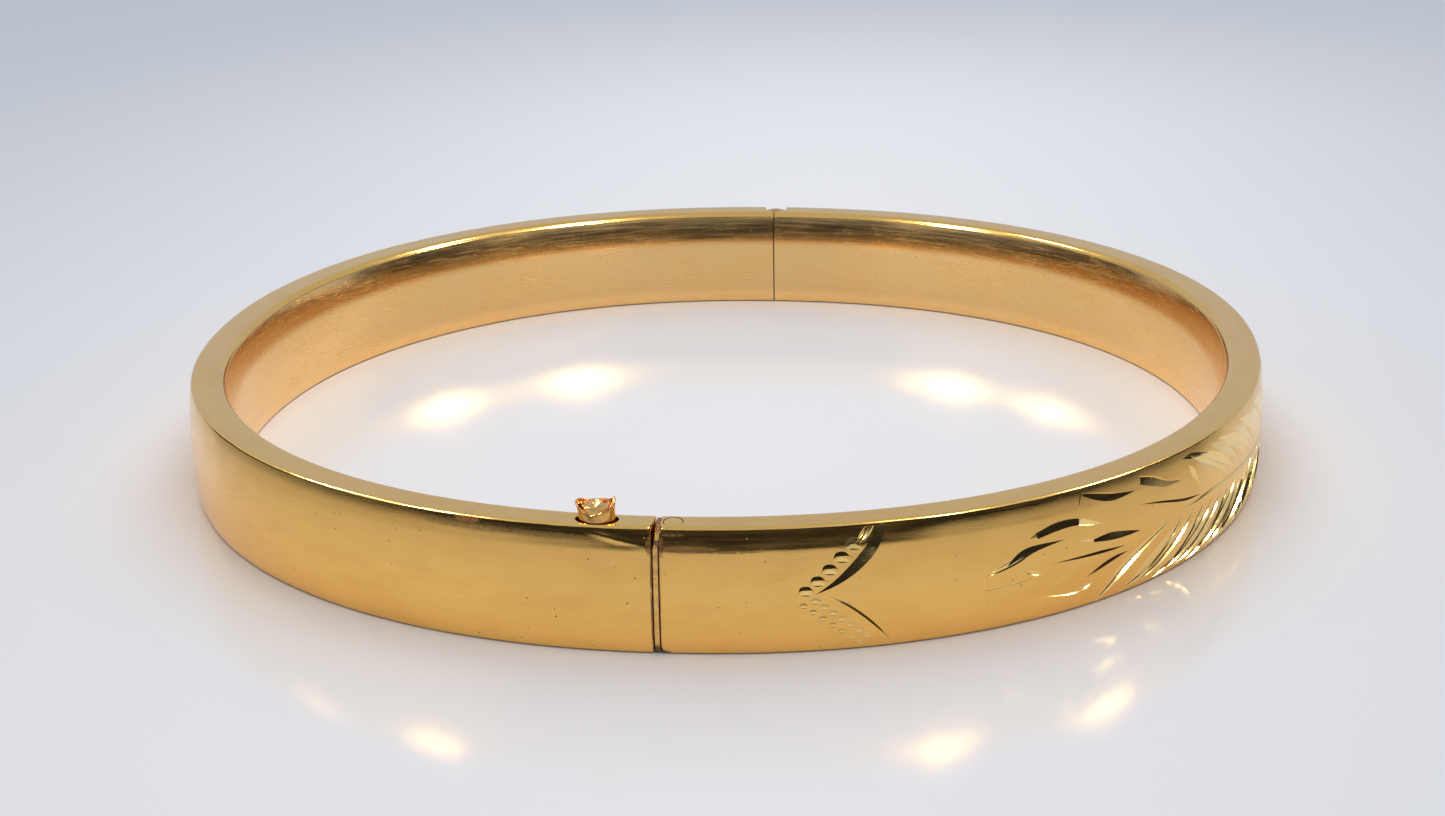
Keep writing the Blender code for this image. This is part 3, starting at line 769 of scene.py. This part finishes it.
def gold(name, colour=GOLD, deep=DEEP_GOLD, roughness=0.15, scratches=1.0, pits=1.0, waves=1.0, blotches=0.28,
         tarnish_and_shade=()):
    """Worn gold-coloured metal: polishing lines along the band, pits, slow waves and discoloured patches; the
    thin strips of them along the seam's edges are painted shade of the seam gap as well as discolouring.
    """
    g = Graph(name)
    places = g.band_places()
    blotch = g.noise(g.scaled(places, 0.22, 0.55), 4.0, 0.62)
    streak = g.noise(g.scaled(places, 0.22, 8.0), 3.0, 0.55)
    fine = g.noise(g.scaled(places, 1.1, 34.0), 2.0, 0.6)
    wave = g.noise(g.scaled(places, 0.24, 0.42), 1.0, 0.4)
    uneven = g.noise(g.scaled(places, 9.0, 9.0), 2.0, 0.6)
    pit = pits_in(g, places, uneven)
    tint = g.mix(g.ramp(blotch, 0.42, 0.72, 0.0, blotches), colour, deep)
    tint = g.mix(g.ramp(streak, 0.55, 0.85, 0.0, 0.18), tint, deep)
    grain = g.noise(g.scaled(places, 5.0, 7.0), 3.0, 0.7)
    tint = g.mix(g.ramp(grain, 0.5, 0.8, 0.0, 0.30), tint, deep)
    skin = 0.0
    # discoloured patches; the thin strips along the seam's edges also paint the shade of the gap between the
    # halves
    for centre, size, shade, strength in tarnish_and_shade:
        share = g.times(g.patch(places, centre, size), strength)
        speckle = g.noise(g.scaled(places, 3.4, 7.0), 4.0, 0.7)
        share = g.times(share, g.ramp(speckle, 0.30, 0.52))
        tint = g.mix(share, tint, shade)
        skin = g.math("MAXIMUM", skin, share)
    tint = g.mix(g.times(pit, 0.62 * pits), tint, PIT)
    g.put(g.shader.inputs["Base Color"], tint)
    g.shader.inputs["Metallic"].default_value = 1.0
    if tarnish_and_shade:
        g.put(g.shader.inputs["Metallic"], g.ramp(skin, 0.15, 1.0, 1.0, 0.25))
    lined = g.ramp(streak, 0.3, 0.8, roughness * 0.75, roughness * 1.35)
    rough = g.plus(lined, g.ramp(blotch, 0.4, 0.8, 0.0, 0.07))
    g.put(g.shader.inputs["Roughness"], g.plus(rough, g.times(pit, 0.3)))
    height = g.times(wave, 0.010 * waves)
    for pattern, rise in ((grain, 0.0030), (uneven, 0.0010), (streak, 0.00055), (fine, 0.00016)):
        height = g.plus(height, g.times(pattern, rise * scratches))
    height = g.math("SUBTRACT", height, g.times(pit, 0.006 * pits))
    bump = g.node("Bump", {"Strength": 1.0, "Distance": MM, "Height": height})
    g.put(g.shader.inputs["Normal"], bump.outputs[0])
    return g.material


def pale_floor():
    g = Graph("pale_floor")
    at = g.node("TexCoord", {}).outputs["Object"]
    cloud = g.node("TexNoise", {"Vector": at, "Scale": 6.0, "Detail": 2.0}).outputs[0]
    g.put(g.shader.inputs["Base Color"], g.mix(cloud, (0.80, 0.78, 0.77, 1), (0.83, 0.81, 0.80, 1)))
    g.put(g.shader.inputs["Roughness"], g.ramp(cloud, 0.3, 0.7, 0.10, 0.14))
    g.shader.inputs["Specular IOR Level"].default_value = 0.5
    return g.material


# ---------------------------------------------------------------- pieces
def finish_mesh(item, sharp=32):
    """Smooth shading, with edges sharp above an angle in degrees."""
    item.data.shade_smooth()
    item.data.set_sharp_from_angle(angle=math.radians(sharp))
    return item


WELD_DISTANCE = 1.5e-7
TINY_EDGE = 1e-8


def outward(item, weld=False):
    """Turns the faces of a closed mesh outwards, after joining points that coincide where asked."""
    work = bmesh.new()
    work.from_mesh(item.data)
    if weld:
        bmesh.ops.remove_doubles(work, verts=work.verts, dist=WELD_DISTANCE)
        bmesh.ops.dissolve_degenerate(work, edges=work.edges, dist=TINY_EDGE)
        bmesh.ops.recalc_face_normals(work, faces=work.faces)
    if work.calc_volume(signed=True) < 0:
        bmesh.ops.reverse_faces(work, faces=work.faces)
    work.to_mesh(item.data)
    work.free()
    return item


def evaluated_mesh(item):
    """A new mesh of the item, with its modifiers or its curve's settings applied."""
    bpy.context.view_layer.update()
    return bpy.data.meshes.new_from_object(item.evaluated_get(bpy.context.evaluated_depsgraph_get()))


def front_frame(s, depth, z):
    """The frame at a place on the front: X along the band, Y inwards, Z up."""
    x, y, nx, ny = (float(v) for v in oval_at(s))
    place = Vector((x - nx * depth, y - ny * depth, z)) * MM
    turn = math.atan2(nx, -ny)
    return Matrix.Translation(place) @ Matrix.Rotation(turn, 4, "Z")


def lathe(name, profile, material, steps=64, place=Matrix.Identity(4), oval=1.0, closed=False):
    """A profile of (radius, z) rows turned about Z. It starts and ends on the axis unless closed."""
    points, rings = [], []
    for radius, z in profile:
        if radius == 0:
            rings.append([len(points)] * steps)
            points.append((0, 0, z * MM))
            continue
        rings.append([len(points) + k for k in range(steps)])
        for k in range(steps):
            turn = 2 * math.pi * k / steps
            points.append((radius * math.cos(turn) * MM, radius * oval * math.sin(turn) * MM, z * MM))
    faces = []
    pairs = list(zip(rings, rings[1:])) + ([(rings[-1], rings[0])] if closed else [])
    for first, second in pairs:
        for k in range(steps):
            after = (k + 1) % steps
            face = tuple(dict.fromkeys((first[k], first[after], second[after], second[k])))
            if len(face) > 2:
                faces.append(face)
    points = [place @ Vector(point) for point in points]
    return finish_mesh(outward(new_object(name, points, faces, [material]), True))


def rounded_bar(radius, low, high, edge, steps=4):
    """The outer side of a turned bar from its top to its foot, with rounded rims."""
    turns = [math.pi / 2 * k / steps for k in range(steps + 1)]
    flat = radius - edge
    rim = [(flat + edge * math.sin(turn), high - edge + edge * math.cos(turn)) for turn in turns]
    return rim + [(flat + edge * math.cos(turn), low + edge - edge * math.sin(turn)) for turn in turns]


CUTTER_TOP, CUTTER_FOOT = 6.7, 5.75


def oval_hole(item, s, length, width):
    """Cuts an oval hole through the top lip of a shell."""
    half = length / 2
    profile = [(0, CUTTER_TOP), (half, CUTTER_TOP), (half, CUTTER_FOOT), (0, CUTTER_FOOT)]
    cutter = lathe("hole_cutter", profile, None, 96, front_frame(s, MID_DEPTH, 0), width / length)
    modifier = item.modifiers.new("hole", "BOOLEAN")
    modifier.operation = "DIFFERENCE"
    modifier.object = cutter
    modifier.solver = "MANIFOLD"
    mesh = evaluated_mesh(item)
    item.modifiers.clear()
    item.data = mesh
    outward(item)
    bpy.data.objects.remove(cutter, do_unlink=True)


CUT_SLOT = 1


def set_face_normals(item):
    """Gives the smooth uncut side its exact normals, so that the triangles between the cuts don't show."""
    mesh = item.data
    points = np.zeros(len(mesh.vertices) * 3)
    mesh.vertices.foreach_get("co", points)
    at = points.reshape(-1, 3) / MM
    run = band_run(at)
    x, y, nx, ny = oval_at(run)
    depth = (x - at[:, 0]) * nx + (y - at[:, 1]) * ny
    side = 1 if item.name.startswith("engraved") else -1
    height = at[:, 2]
    clear = (end_wear(run, side) < 1e-6) & (height > FACE_FOOT - 0.001) & (height < FACE_TOP + 0.001)
    base = clear & (np.abs(depth - side_depth(run, height)) < 0.0015)
    exact = base_normals(run, height)
    normals = np.zeros((len(mesh.loops), 3))
    for face in mesh.polygons:
        if face.material_index != CUT_SLOT and all(base[v] for v in face.vertices):
            for loop in face.loop_indices:
                normals[loop] = exact[mesh.loops[loop].vertex_index]
    mesh.normals_split_custom_set(normals.tolist())


def sharpen_cut_edges(item):
    """Keeps the shading of a cut's facets apart from the uncut metal round them."""
    work = bmesh.new()
    work.from_mesh(item.data)
    for edge in work.edges:
        if len({face.material_index for face in edge.link_faces}) == 2:
            edge.smooth = False
    work.to_mesh(item.data)
    work.free()


HOLE_LENGTH, HOLE_WIDTH = 2.1, 1.5
RIVET_S = 0.78
RIVET_HOLE_LENGTH, RIVET_HOLE_WIDTH = 0.96, 1.26


def make_plain_shell(materials):
    item = outward(new_object("plain_shell", *shell_grid(-1, True), materials), True)
    oval_hole(item, BUTTON_S, HOLE_LENGTH, HOLE_WIDTH)
    finish_mesh(item, 28)
    set_face_normals(item)
    return item


def make_engraved_shell(materials):
    points, faces = shell_grid(1, False)
    face_points, face_faces, is_cut = engraved_face(engraved_cuts())
    offset = len(points)
    all_faces = faces + [tuple(v + offset for v in face) for face in face_faces]
    item = new_object("engraved_shell", np.concatenate([points, face_points]), all_faces, materials)
    slots = np.concatenate([np.zeros(len(faces), np.int32), is_cut.astype(np.int32) * CUT_SLOT])
    item.data.polygons.foreach_set("material_index", slots)
    outward(item, True)
    oval_hole(item, RIVET_S, RIVET_HOLE_LENGTH, RIVET_HOLE_WIDTH)
    finish_mesh(item, 12)
    sharpen_cut_edges(item)
    set_face_normals(item)
    return item


LINING_BACK = 1.95


def make_lining(side, material):
    """The inner skin: a strip with small rounded edges behind the shell's two lips."""
    name = ("engraved" if side > 0 else "plain") + "_lining"
    low, high, edge, roll = 0.012, HEIGHT - SHEET - GAP, 0.02, 0.10
    heights = np.concatenate([np.linspace(high - edge, 5.2, 9), np.linspace(5.1, 3.8, 12),
                              np.linspace(3.4, 1.3, 6), np.linspace(1.1, low + roll, 7)])
    section = [(float(inner_depth(high)) - edge, high)]
    section += [(float(inner_depth(z)), z) for z in heights]
    foot = float(inner_depth(low + roll)) - roll
    turns = np.radians([30, 60, 90])
    section += [(foot + roll * math.cos(turn), low + roll - roll * math.sin(turn)) for turn in turns]
    section += [(LINING_BACK, low), (LINING_BACK, high)]
    start, end = half_ends(side)
    rows = np.linspace(start, end, 260) * side
    width = len(section)
    depth = np.array([d for d, _ in section])
    z = np.array([h for _, h in section])
    points = np.concatenate([on_band(np.full(width, s), depth, z) for s in rows])
    faces = tube_faces(len(rows), width, range(width))
    faces.append(tuple(range(width)))
    faces.append(tuple(reversed(range((len(rows) - 1) * width, len(rows) * width))))
    return finish_mesh(outward(new_object(name, points, faces, [material]), True))


PLATE_FRONT, PLATE_BACK = 0.03, 0.06
PLATE_EDGE = 0.02
PLATE_SHIFT = 0.012
WINDOW_WIDTH = 1.45


def make_mouth_plate(material):
    """The thin plate in the seam, with its window, and its worn corner at the top of the outer side."""
    curve = bpy.data.curves.new("mouth_plate_worn", "CURVE")
    curve.dimensions = "2D"
    outline = [(LIP_DEPTH - PLATE_BACK, HEIGHT - 0.16), (1.7, HEIGHT - 0.14), (1.28, HEIGHT - 0.30),
               (1.0, 5.90), (0.8, 5.74), (0.62, 5.66), (0.46, 5.50), (0.34, 5.46)]
    for z in np.linspace(5.36, 0.36, 26):
        outline.append((float(side_depth(0.0, z)) + PLATE_FRONT + 0.015 * math.sin(z * 9), z))
    outline += [(0.30, 0.12), (0.42, 0.05), (float(inner_depth(0.2)) - PLATE_BACK, 0.05)]
    outline += [(float(inner_depth(z)) - PLATE_BACK, z) for z in (0.4, 1.2, 3.2, 4.9, 5.4)]
    low = MID_DEPTH - WINDOW_WIDTH / 2
    high = low + WINDOW_WIDTH
    window = [(low, 2.6), (low, 5.15), (low + 0.5, 5.45), (low + 0.72, 5.7), (low + 0.95, 5.85), (high, 5.85),
              (high, 2.6)]
    for row in (outline, window):
        spline = curve.splines.new("POLY")
        spline.points.add(len(row) - 1)
        for point, (d, z) in zip(spline.points, row):
            point.co = (d * MM, z * MM, 0, 1)
        spline.use_cyclic_u = True
    curve.fill_mode = "BOTH"
    curve.extrude = (PLATE_HALF - PLATE_EDGE / 2) * MM
    curve.bevel_depth = PLATE_EDGE * MM
    curve.bevel_resolution = 2
    curve.offset = -PLATE_EDGE * MM
    item = bpy.data.objects.new("mouth_plate_curve", curve)
    bpy.context.scene.collection.objects.link(item)
    axes = Matrix(((0, 0, 1, PLATE_SHIFT * MM), (1, 0, 0, -HALF_DEPTH * MM), (0, 1, 0, 0), (0, 0, 0, 1)))
    mesh = evaluated_mesh(item)
    bpy.data.objects.remove(item, do_unlink=True)
    mesh.transform(axes)
    mesh.materials.clear()
    mesh.materials.append(material)
    plate = bpy.data.objects.new("mouth_plate_worn", mesh)
    bpy.context.scene.collection.objects.link(plate)
    return finish_mesh(outward(plate, True))


# ---------------------------------------------------------------- push button
BUTTON_S = -2.95
BUTTON_RADIUS = 0.90
BUTTON_OVAL = 0.65 / 0.90
CUP_WALL = 0.12
CUP_FOOT = 5.35
RIM_POINTS = [
    (0, 7.40), (14, 7.47), (30, 7.36), (60, 7.20), (100, 7.15), (140, 7.20), (165, 7.30), (185, 7.26),
    (205, 7.05), (228, 6.84), (255, 6.74), (285, 6.80), (315, 6.98), (340, 7.20), (360, 7.40),
]
STEPS_ROUND = 96


def rim_height(turn):
    degrees = math.degrees(turn) % 360
    angles, heights = zip(*RIM_POINTS)
    base = float(np.interp(degrees, angles, heights))
    return base + 0.02 * math.sin(5 * turn + 1) + 0.012 * math.sin(11 * turn)


def bell(turn, centre, width):
    off = (math.degrees(turn) - centre + 180) % 360 - 180
    return math.exp(-((off / width) ** 2))


def cup_column(turn):
    """The cup's section at a turn: from its foot up the outside, over the rim and down the inside."""
    rim = rim_height(turn)
    wall = CUP_WALL * (1 + 0.25 * math.sin(3 * turn + 0.5))
    column = [(0.30, CUP_FOOT), (0.86, CUP_FOOT), (0.895, CUP_FOOT + 0.03)]
    for share in np.linspace(0.08, 1, 12):
        z = CUP_FOOT + (rim - wall / 2 - CUP_FOOT) * share
        lean = 0.15 * bell(turn, 184, 20) * share**7 - 0.04 * bell(turn, 262, 38) * share**4
        lean += 0.035 * bell(turn, 2, 20) * share**5 + 0.008 * math.sin(4 * turn + 5 * share)
        lean -= 0.022 * bell(turn, 262, 12) * math.exp(-(((z - 6.62) / 0.09) ** 2))
        column.append((BUTTON_RADIUS - 0.01 + lean, z))
    top_radius, top_z = column[-1]
    half = wall / 2
    for angle in np.radians([30, 60, 90, 120, 150]):
        column.append((top_radius - half + half * math.cos(angle), top_z + half * math.sin(angle)))
    for share in np.linspace(0, 1, 7):
        z = top_z + (CUP_FOOT + 0.16 - top_z) * share
        column.append((top_radius - wall - (top_radius - 0.89) * share, z))
    column.append((0.30, CUP_FOOT + 0.15))
    return column


TURNS = [2 * math.pi * k / STEPS_ROUND for k in range(STEPS_ROUND)]


def make_cup(materials):
    """The torn and bent cup of the button, with a curled lip at its left and a peak at its right."""
    return ring_of_columns("button_cup_worn", [cup_column(turn) for turn in TURNS], materials, True)


def ring_of_columns(name, rows, materials, closed):
    """Columns of (radius, z) set round the button's middle, kept inside its hole."""
    middle = front_frame(BUTTON_S, MID_DEPTH, 0)
    height = len(rows[0])
    points = []
    for k, column in enumerate(rows):
        turn = 2 * math.pi * k / len(rows)
        for radius, z in column:
            radius = min(radius, HOLE_LENGTH / 2)
            x, y = radius * math.cos(turn), radius * BUTTON_OVAL * math.sin(turn)
            points.append(middle @ Vector((x * MM, y * MM, z * MM)))
    faces = []
    for k in range(len(rows)):
        after = (k + 1) % len(rows)
        for j in range(height if closed else height - 1):
            up = (j + 1) % height
            faces.append((k * height + j, after * height + j, after * height + up, k * height + up))
    item = new_object(name, points, faces, materials)
    return finish_mesh(outward(item, True), 40)


def core_height(x, y):
    """The lumpy solder that fills the cup."""
    radius = math.hypot(x, 1.2 * y)
    dome = 7.14 - 0.16 * radius * radius
    lumps = 0.060 * math.sin(6.3 * x + 1.1) * math.sin(7.1 * y + 0.4) + 0.034 * math.sin(13 * x - 5 * y + 2)
    fine = 0.020 * math.sin(21 * x + 9 * y) * math.sin(17 * y - 6 * x + 1)
    knob = 0.12 * math.exp(-(((x + 0.05) / 0.22) ** 2 + ((y - 0.10) / 0.3) ** 2))
    dip = 0.10 * math.exp(-(((x - 0.40) / 0.14) ** 2 + ((y + 0.2) / 0.25) ** 2))
    return dome + lumps + fine + knob - dip


CORE_RADIUS = 0.745


def core_column(turn):
    column = []
    for share in np.linspace(0.0, 1, 22):
        radius = CORE_RADIUS * share
        z = core_height(radius * math.cos(turn), radius * math.sin(turn) * 0.8)
        column.append((radius, min(z, 7.5)))
    return column + [(CORE_RADIUS, 5.56), (0.25, 5.54), (0.25, 5.14), (0.0, 5.14)]


def make_core(material):
    return ring_of_columns("button_core_lumpy", [core_column(turn) for turn in TURNS], [material], False)


# ---------------------------------------------------------------- hinge and rivet
HINGE_PLACE = Matrix.Translation((0, (HALF_DEPTH - BARREL_RADIUS) * MM, 0))
KNUCKLES = 5
BORE_RADIUS = 0.33
BORE_INSET = 0.02
PIN_HEAD = [(0, 0), (0.2, 0.01), (0.36, 0.035), (0.46, 0.075), (0.5, 0.12), (0.3, 0.12)]
RIVET_PROFILE = [
    (0, 6.345), (0.40, 6.345), (0.44, 6.335), (0.45, 6.31), (0.45, 6.12), (0.2, 6.12), (0.2, 2.73),
    (0.34, 2.73), (0.34, 2.45), (0.3, 2.41), (0, 2.40),
]


def foot_and_top(node):
    return [corner.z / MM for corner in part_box(node)]


def make_barrel(number, material):
    low, high = foot_and_top(f"hinge_knuckle_{number}")
    profile = rounded_bar(BARREL_RADIUS, low, high, 0.045)
    profile += [(BORE_RADIUS, low + BORE_INSET), (BORE_RADIUS, high - BORE_INSET)]
    return lathe(f"barrel_{number}", profile, material, 64, HINGE_PLACE, closed=True)


def make_pin(material):
    """The pin with a small domed head at both ends."""
    low, high = foot_and_top("hinge_pin")
    profile = [(radius, high - drop) for radius, drop in PIN_HEAD]
    profile += [(radius, low + drop) for radius, drop in reversed(PIN_HEAD)]
    return lathe("hinge_pin_domed", profile, material, 48, HINGE_PLACE)


def make_rivet(material):
    return lathe("rivet_flush", RIVET_PROFILE, material, 64, front_frame(RIVET_S, MID_DEPTH, 0), 4 / 3)


# ---------------------------------------------------------------- build
def keep_node(name, material):
    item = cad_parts[name]
    for slot in item.material_slots:
        slot.material = material


def add_piece(item, body, slot, *nodes):
    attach(item, body)
    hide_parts(*nodes)


SEAM_TARNISH_AND_SHADE = [
    ((1.5, 5.33), (2.1, 0.20), RUST_AND_GAP_SHADE, 0.80),
    ((3.4, 5.22), (1.9, 0.10), SOIL, 0.7),
    ((0.8, 6.0), (0.9, 0.10), RUST_AND_GAP_SHADE, 0.6),
    ((0.25, 5.5), (0.22, 0.8), RUST_AND_GAP_SHADE, 0.6),
    # a thin reddish-brown strip along the engraved half's edge at the seam: discolouring and painted shade of
    # the gap between the halves
    ((0.17, 2.9), (0.09, 4.2), RUST_AND_GAP_SHADE, 0.8),
    ((0.30, 0.05), (0.4, 0.20), SOIL, 0.95),
]
CUP_TARNISH = [
    ((-2.95, 7.22), (1.6, 0.34), COPPER, 0.85),
]
PLATE_TARNISH = [
    ((0.0, 6.30), (2.5, 0.62), RUST_AND_GAP_SHADE, 0.9),
    ((0.0, 5.50), (2.5, 0.16), SOIL, 0.9),
    ((0.0, 0.2), (0.6, 0.35), SOIL, 0.9),
]
PLAIN_TARNISH_AND_SHADE = [
    ((-0.25, 5.5), (0.28, 0.6), RUST_AND_GAP_SHADE, 0.7),
    ((-1.1, 5.40), (1.0, 0.10), SOIL, 0.6),
    # a thin reddish-brown strip along the plain half's edge at the seam: discolouring and painted shade of
    # the gap between the halves
    ((-0.17, 2.9), (0.10, 4.2), RUST_AND_GAP_SHADE, 0.9),
    ((-9.2, 6.12), (0.9, 0.26), COPPER, 0.8),
    ((-9.0, 5.82), (3.2, 0.24), SOIL, 0.5),
    ((-5.0, 5.80), (3.2, 0.22), SOIL, 0.5),
]
plain_gold = gold("plain_gold", tarnish_and_shade=PLAIN_TARNISH_AND_SHADE, pits=1.1)
engraved_gold = gold("engraved_gold", tarnish_and_shade=SEAM_TARNISH_AND_SHADE, pits=0.9)
cut_gold = gold("cut_gold", (0.98, 0.70, 0.26, 1), GOLD, 0.12, 0.5, 0.0, 0.2, 0.2)
lining_gold = gold("lining_gold", LINING_GOLD, GOLD, 0.22, 1.0, 0.6, 1.2, 0.35)
plate_gold = gold("plate_gold", (0.86, 0.52, 0.17, 1), COPPER, 0.20, 0.8, 0.8, 0.2, 0.20, PLATE_TARNISH)
hinge_brass = gold("hinge_brass", (0.78, 0.46, 0.15, 1), COPPER, 0.24, 1.0, 0.8, 0.6, 0.6)
inner_brass = gold("inner_brass", (0.55, 0.34, 0.14, 1), SOIL, 0.38, 1.4, 0.8, 0.8, 0.7)
spring_bronze = gold("spring_bronze", (0.66, 0.42, 0.22, 1), COPPER, 0.28, 1.6, 0.5, 0.5, 0.5)
cup_gold = gold("cup_gold", (0.86, 0.50, 0.15, 1), COPPER, 0.16, 1.6, 0.8, 0.6, 0.4, CUP_TARNISH)
solder = gold("solder", (0.86, 0.56, 0.22, 1), (0.50, 0.24, 0.08, 1), 0.30, 3.0, 1.2, 1.2, 0.8)

plain_shell = make_plain_shell([plain_gold, cut_gold])
add_piece(plain_shell, "plain_half", "plain_gold", "plain_outer_shell")
engraved_shell = make_engraved_shell([engraved_gold, cut_gold])
add_piece(engraved_shell, "engraved_half", "engraved_gold", "engraved_outer_shell")
add_piece(make_lining(-1, lining_gold), "plain_half", "lining_gold", "plain_inner_lining")
add_piece(make_lining(1, lining_gold), "engraved_half", "lining_gold", "engraved_inner_lining")
add_piece(make_mouth_plate(plate_gold), "plain_half", "plate_gold", "mouth_plate")
add_piece(make_cup([cup_gold]), "push_button", "button_gold", "button_cup")
add_piece(make_core(solder), "push_button", "button_solder", "button_core")

for knuckle in range(1, KNUCKLES + 1):
    half = "engraved_half" if knuckle % 2 == 0 else "plain_half"
    add_piece(make_barrel(knuckle, hinge_brass), half, "hinge_brass", f"hinge_knuckle_{knuckle}")
add_piece(make_pin(hinge_brass), "plain_half", "hinge_brass", "hinge_pin")
add_piece(make_rivet(engraved_gold), "engraved_half", "spring_bronze", "tongue_rivet")

for node, material in (
    ("plain_hinge_seat", inner_brass), ("engraved_hinge_seat", inner_brass), ("tongue_plate", inner_brass),
    ("snap_box_tray", inner_brass), ("tongue_base", spring_bronze), ("spring_leaf", spring_bronze),
):
    keep_node(node, material)


# ---------------------------------------------------------------- stage, light and camera
FLOOR = 2.5
FLOOR_Z = -2e-5
FLOOR_CORNERS = [(x * FLOOR, y * FLOOR, FLOOR_Z) for x, y in ((-1, -1), (1, -1), (1, 1), (-1, 1))]
floor = new_object("floor", FLOOR_CORNERS, [(0, 1, 2, 3)], [pale_floor()])

# the four lamps would show as bare white squares in the floor, so they light everything but the floor
spared_floor = bpy.data.collections.new("spared_floor")
spared_floor.objects.link(floor)
spared_floor.collection_objects[0].light_linking.link_state = "EXCLUDE"


def dark_flag(name, first, last, high, radius, fade):
    """A dark curved screen that only gloss sees, paler above the height where it starts to fade."""
    g = Graph(name)
    at = g.node("TexCoord", {}).outputs["Object"]
    share = g.ramp(g.node("SeparateXYZ", {0: at}).outputs[2], fade, high)
    g.put(g.shader.inputs["Base Color"], g.mix(share, (0.010, 0.010, 0.015, 1), (0.16, 0.15, 0.15, 1)))
    g.shader.inputs["Roughness"].default_value = 1.0
    steps = 32
    points, faces = [], []
    for k in range(steps + 1):
        turn = math.radians(first + (last - first) * k / steps)
        for z in (-0.00001, high):
            points.append((radius * math.sin(turn), -radius * math.cos(turn), z))
    for k in range(steps):
        faces.append((2 * k, 2 * k + 2, 2 * k + 3, 2 * k + 1))
    item = new_object(name, points, faces, [g.material])
    item.visible_camera = False
    item.visible_diffuse = False
    item.visible_shadow = False
    item.visible_transmission = False


dark_flag("front_flag", -36, 36, 0.16, 0.34, 0.085)
dark_flag("left_flag", -120, -34, 0.12, 0.36, 0.045)
dark_flag("right_flag", 34, 120, 0.15, 0.36, 0.065)


def soft_light(name, azimuth, elevation, distance, size, watts, colour, gloss, spared=None):
    """A rectangular lamp aimed at the bracelet, seen by gloss only or not at all by gloss."""
    lamp = bpy.data.lights.new(name, "AREA")
    lamp.shape = "RECTANGLE"
    lamp.size, lamp.size_y = size
    lamp.energy = watts
    lamp.color = colour
    item = bpy.data.objects.new(name, lamp)
    bpy.context.scene.collection.objects.link(item)
    a, e = math.radians(azimuth), math.radians(elevation)
    back = Vector((math.sin(a) * math.cos(e), -math.cos(a) * math.cos(e), math.sin(e)))
    item.location = back * distance
    item.rotation_mode = "QUATERNION"
    item.rotation_quaternion = back.to_track_quat("Z", "Y")
    item.visible_camera = False
    item.visible_diffuse = not gloss
    item.visible_glossy = gloss
    item.light_linking.receiver_collection = spared


WARM = (1.0, 0.92, 0.80)
LAMPS = (
    ("left_lamp", -62, 44), ("far_left_lamp", -101, 42), ("right_lamp", 52, 43), ("far_right_lamp", 100, 39),
)
for lamp_name, azimuth, elevation in LAMPS:
    soft_light(lamp_name, azimuth, elevation, 0.50, (0.08, 0.10), 1.1, WARM, True, spared_floor)
soft_light("top_softbox", 180, 80, 0.085, (0.05, 0.25), 0.080, (1.0, 0.96, 0.92), False)

world = bpy.data.worlds.new("studio")
world.use_nodes = True
world.node_tree.nodes["Background"].inputs["Color"].default_value = (0.52, 0.57, 0.65, 1)
world.node_tree.nodes["Background"].inputs["Strength"].default_value = 1.02
bpy.context.scene.world = world
bpy.context.scene.view_settings.view_transform = "Standard"

# the camera stands 138.5 mm in front of the band's centre and 47 mm above its foot
CAMERA_AZIMUTH = math.radians(6.359)
CAMERA_DISTANCE = 138.47 * MM
CAMERA_HEIGHT = 46.95 * MM
CAMERA_YAW = -0.00287
CAMERA_PITCH = math.radians(18.075)
CAMERA_ROLL = math.radians(-0.909)

camera_data = bpy.data.cameras.new("camera")
camera = bpy.data.objects.new("camera", camera_data)
bpy.context.scene.collection.objects.link(camera)
side, front = math.sin(CAMERA_AZIMUTH) * CAMERA_DISTANCE, math.cos(CAMERA_AZIMUTH) * CAMERA_DISTANCE
place = Vector((side, -front, CAMERA_HEIGHT))
heading = math.atan2(-place.x, -place.y) + CAMERA_YAW
level, dip = math.cos(CAMERA_PITCH), math.sin(CAMERA_PITCH)
ahead = Vector((math.sin(heading) * level, math.cos(heading) * level, -dip))
right = Vector((math.cos(heading), -math.sin(heading), 0))
up = right.cross(ahead)
rolled_right = right * math.cos(CAMERA_ROLL) + up * math.sin(CAMERA_ROLL)
rolled_up = up * math.cos(CAMERA_ROLL) - right * math.sin(CAMERA_ROLL)
axes = Matrix((rolled_right, rolled_up, -ahead)).transposed().to_4x4()
camera.matrix_world = Matrix.Translation(place) @ axes
camera_data.sensor_width = 36
camera_data.lens = 61.19
camera_data.clip_start = 0.01
camera_data.clip_end = 20
bpy.context.scene.camera = camera
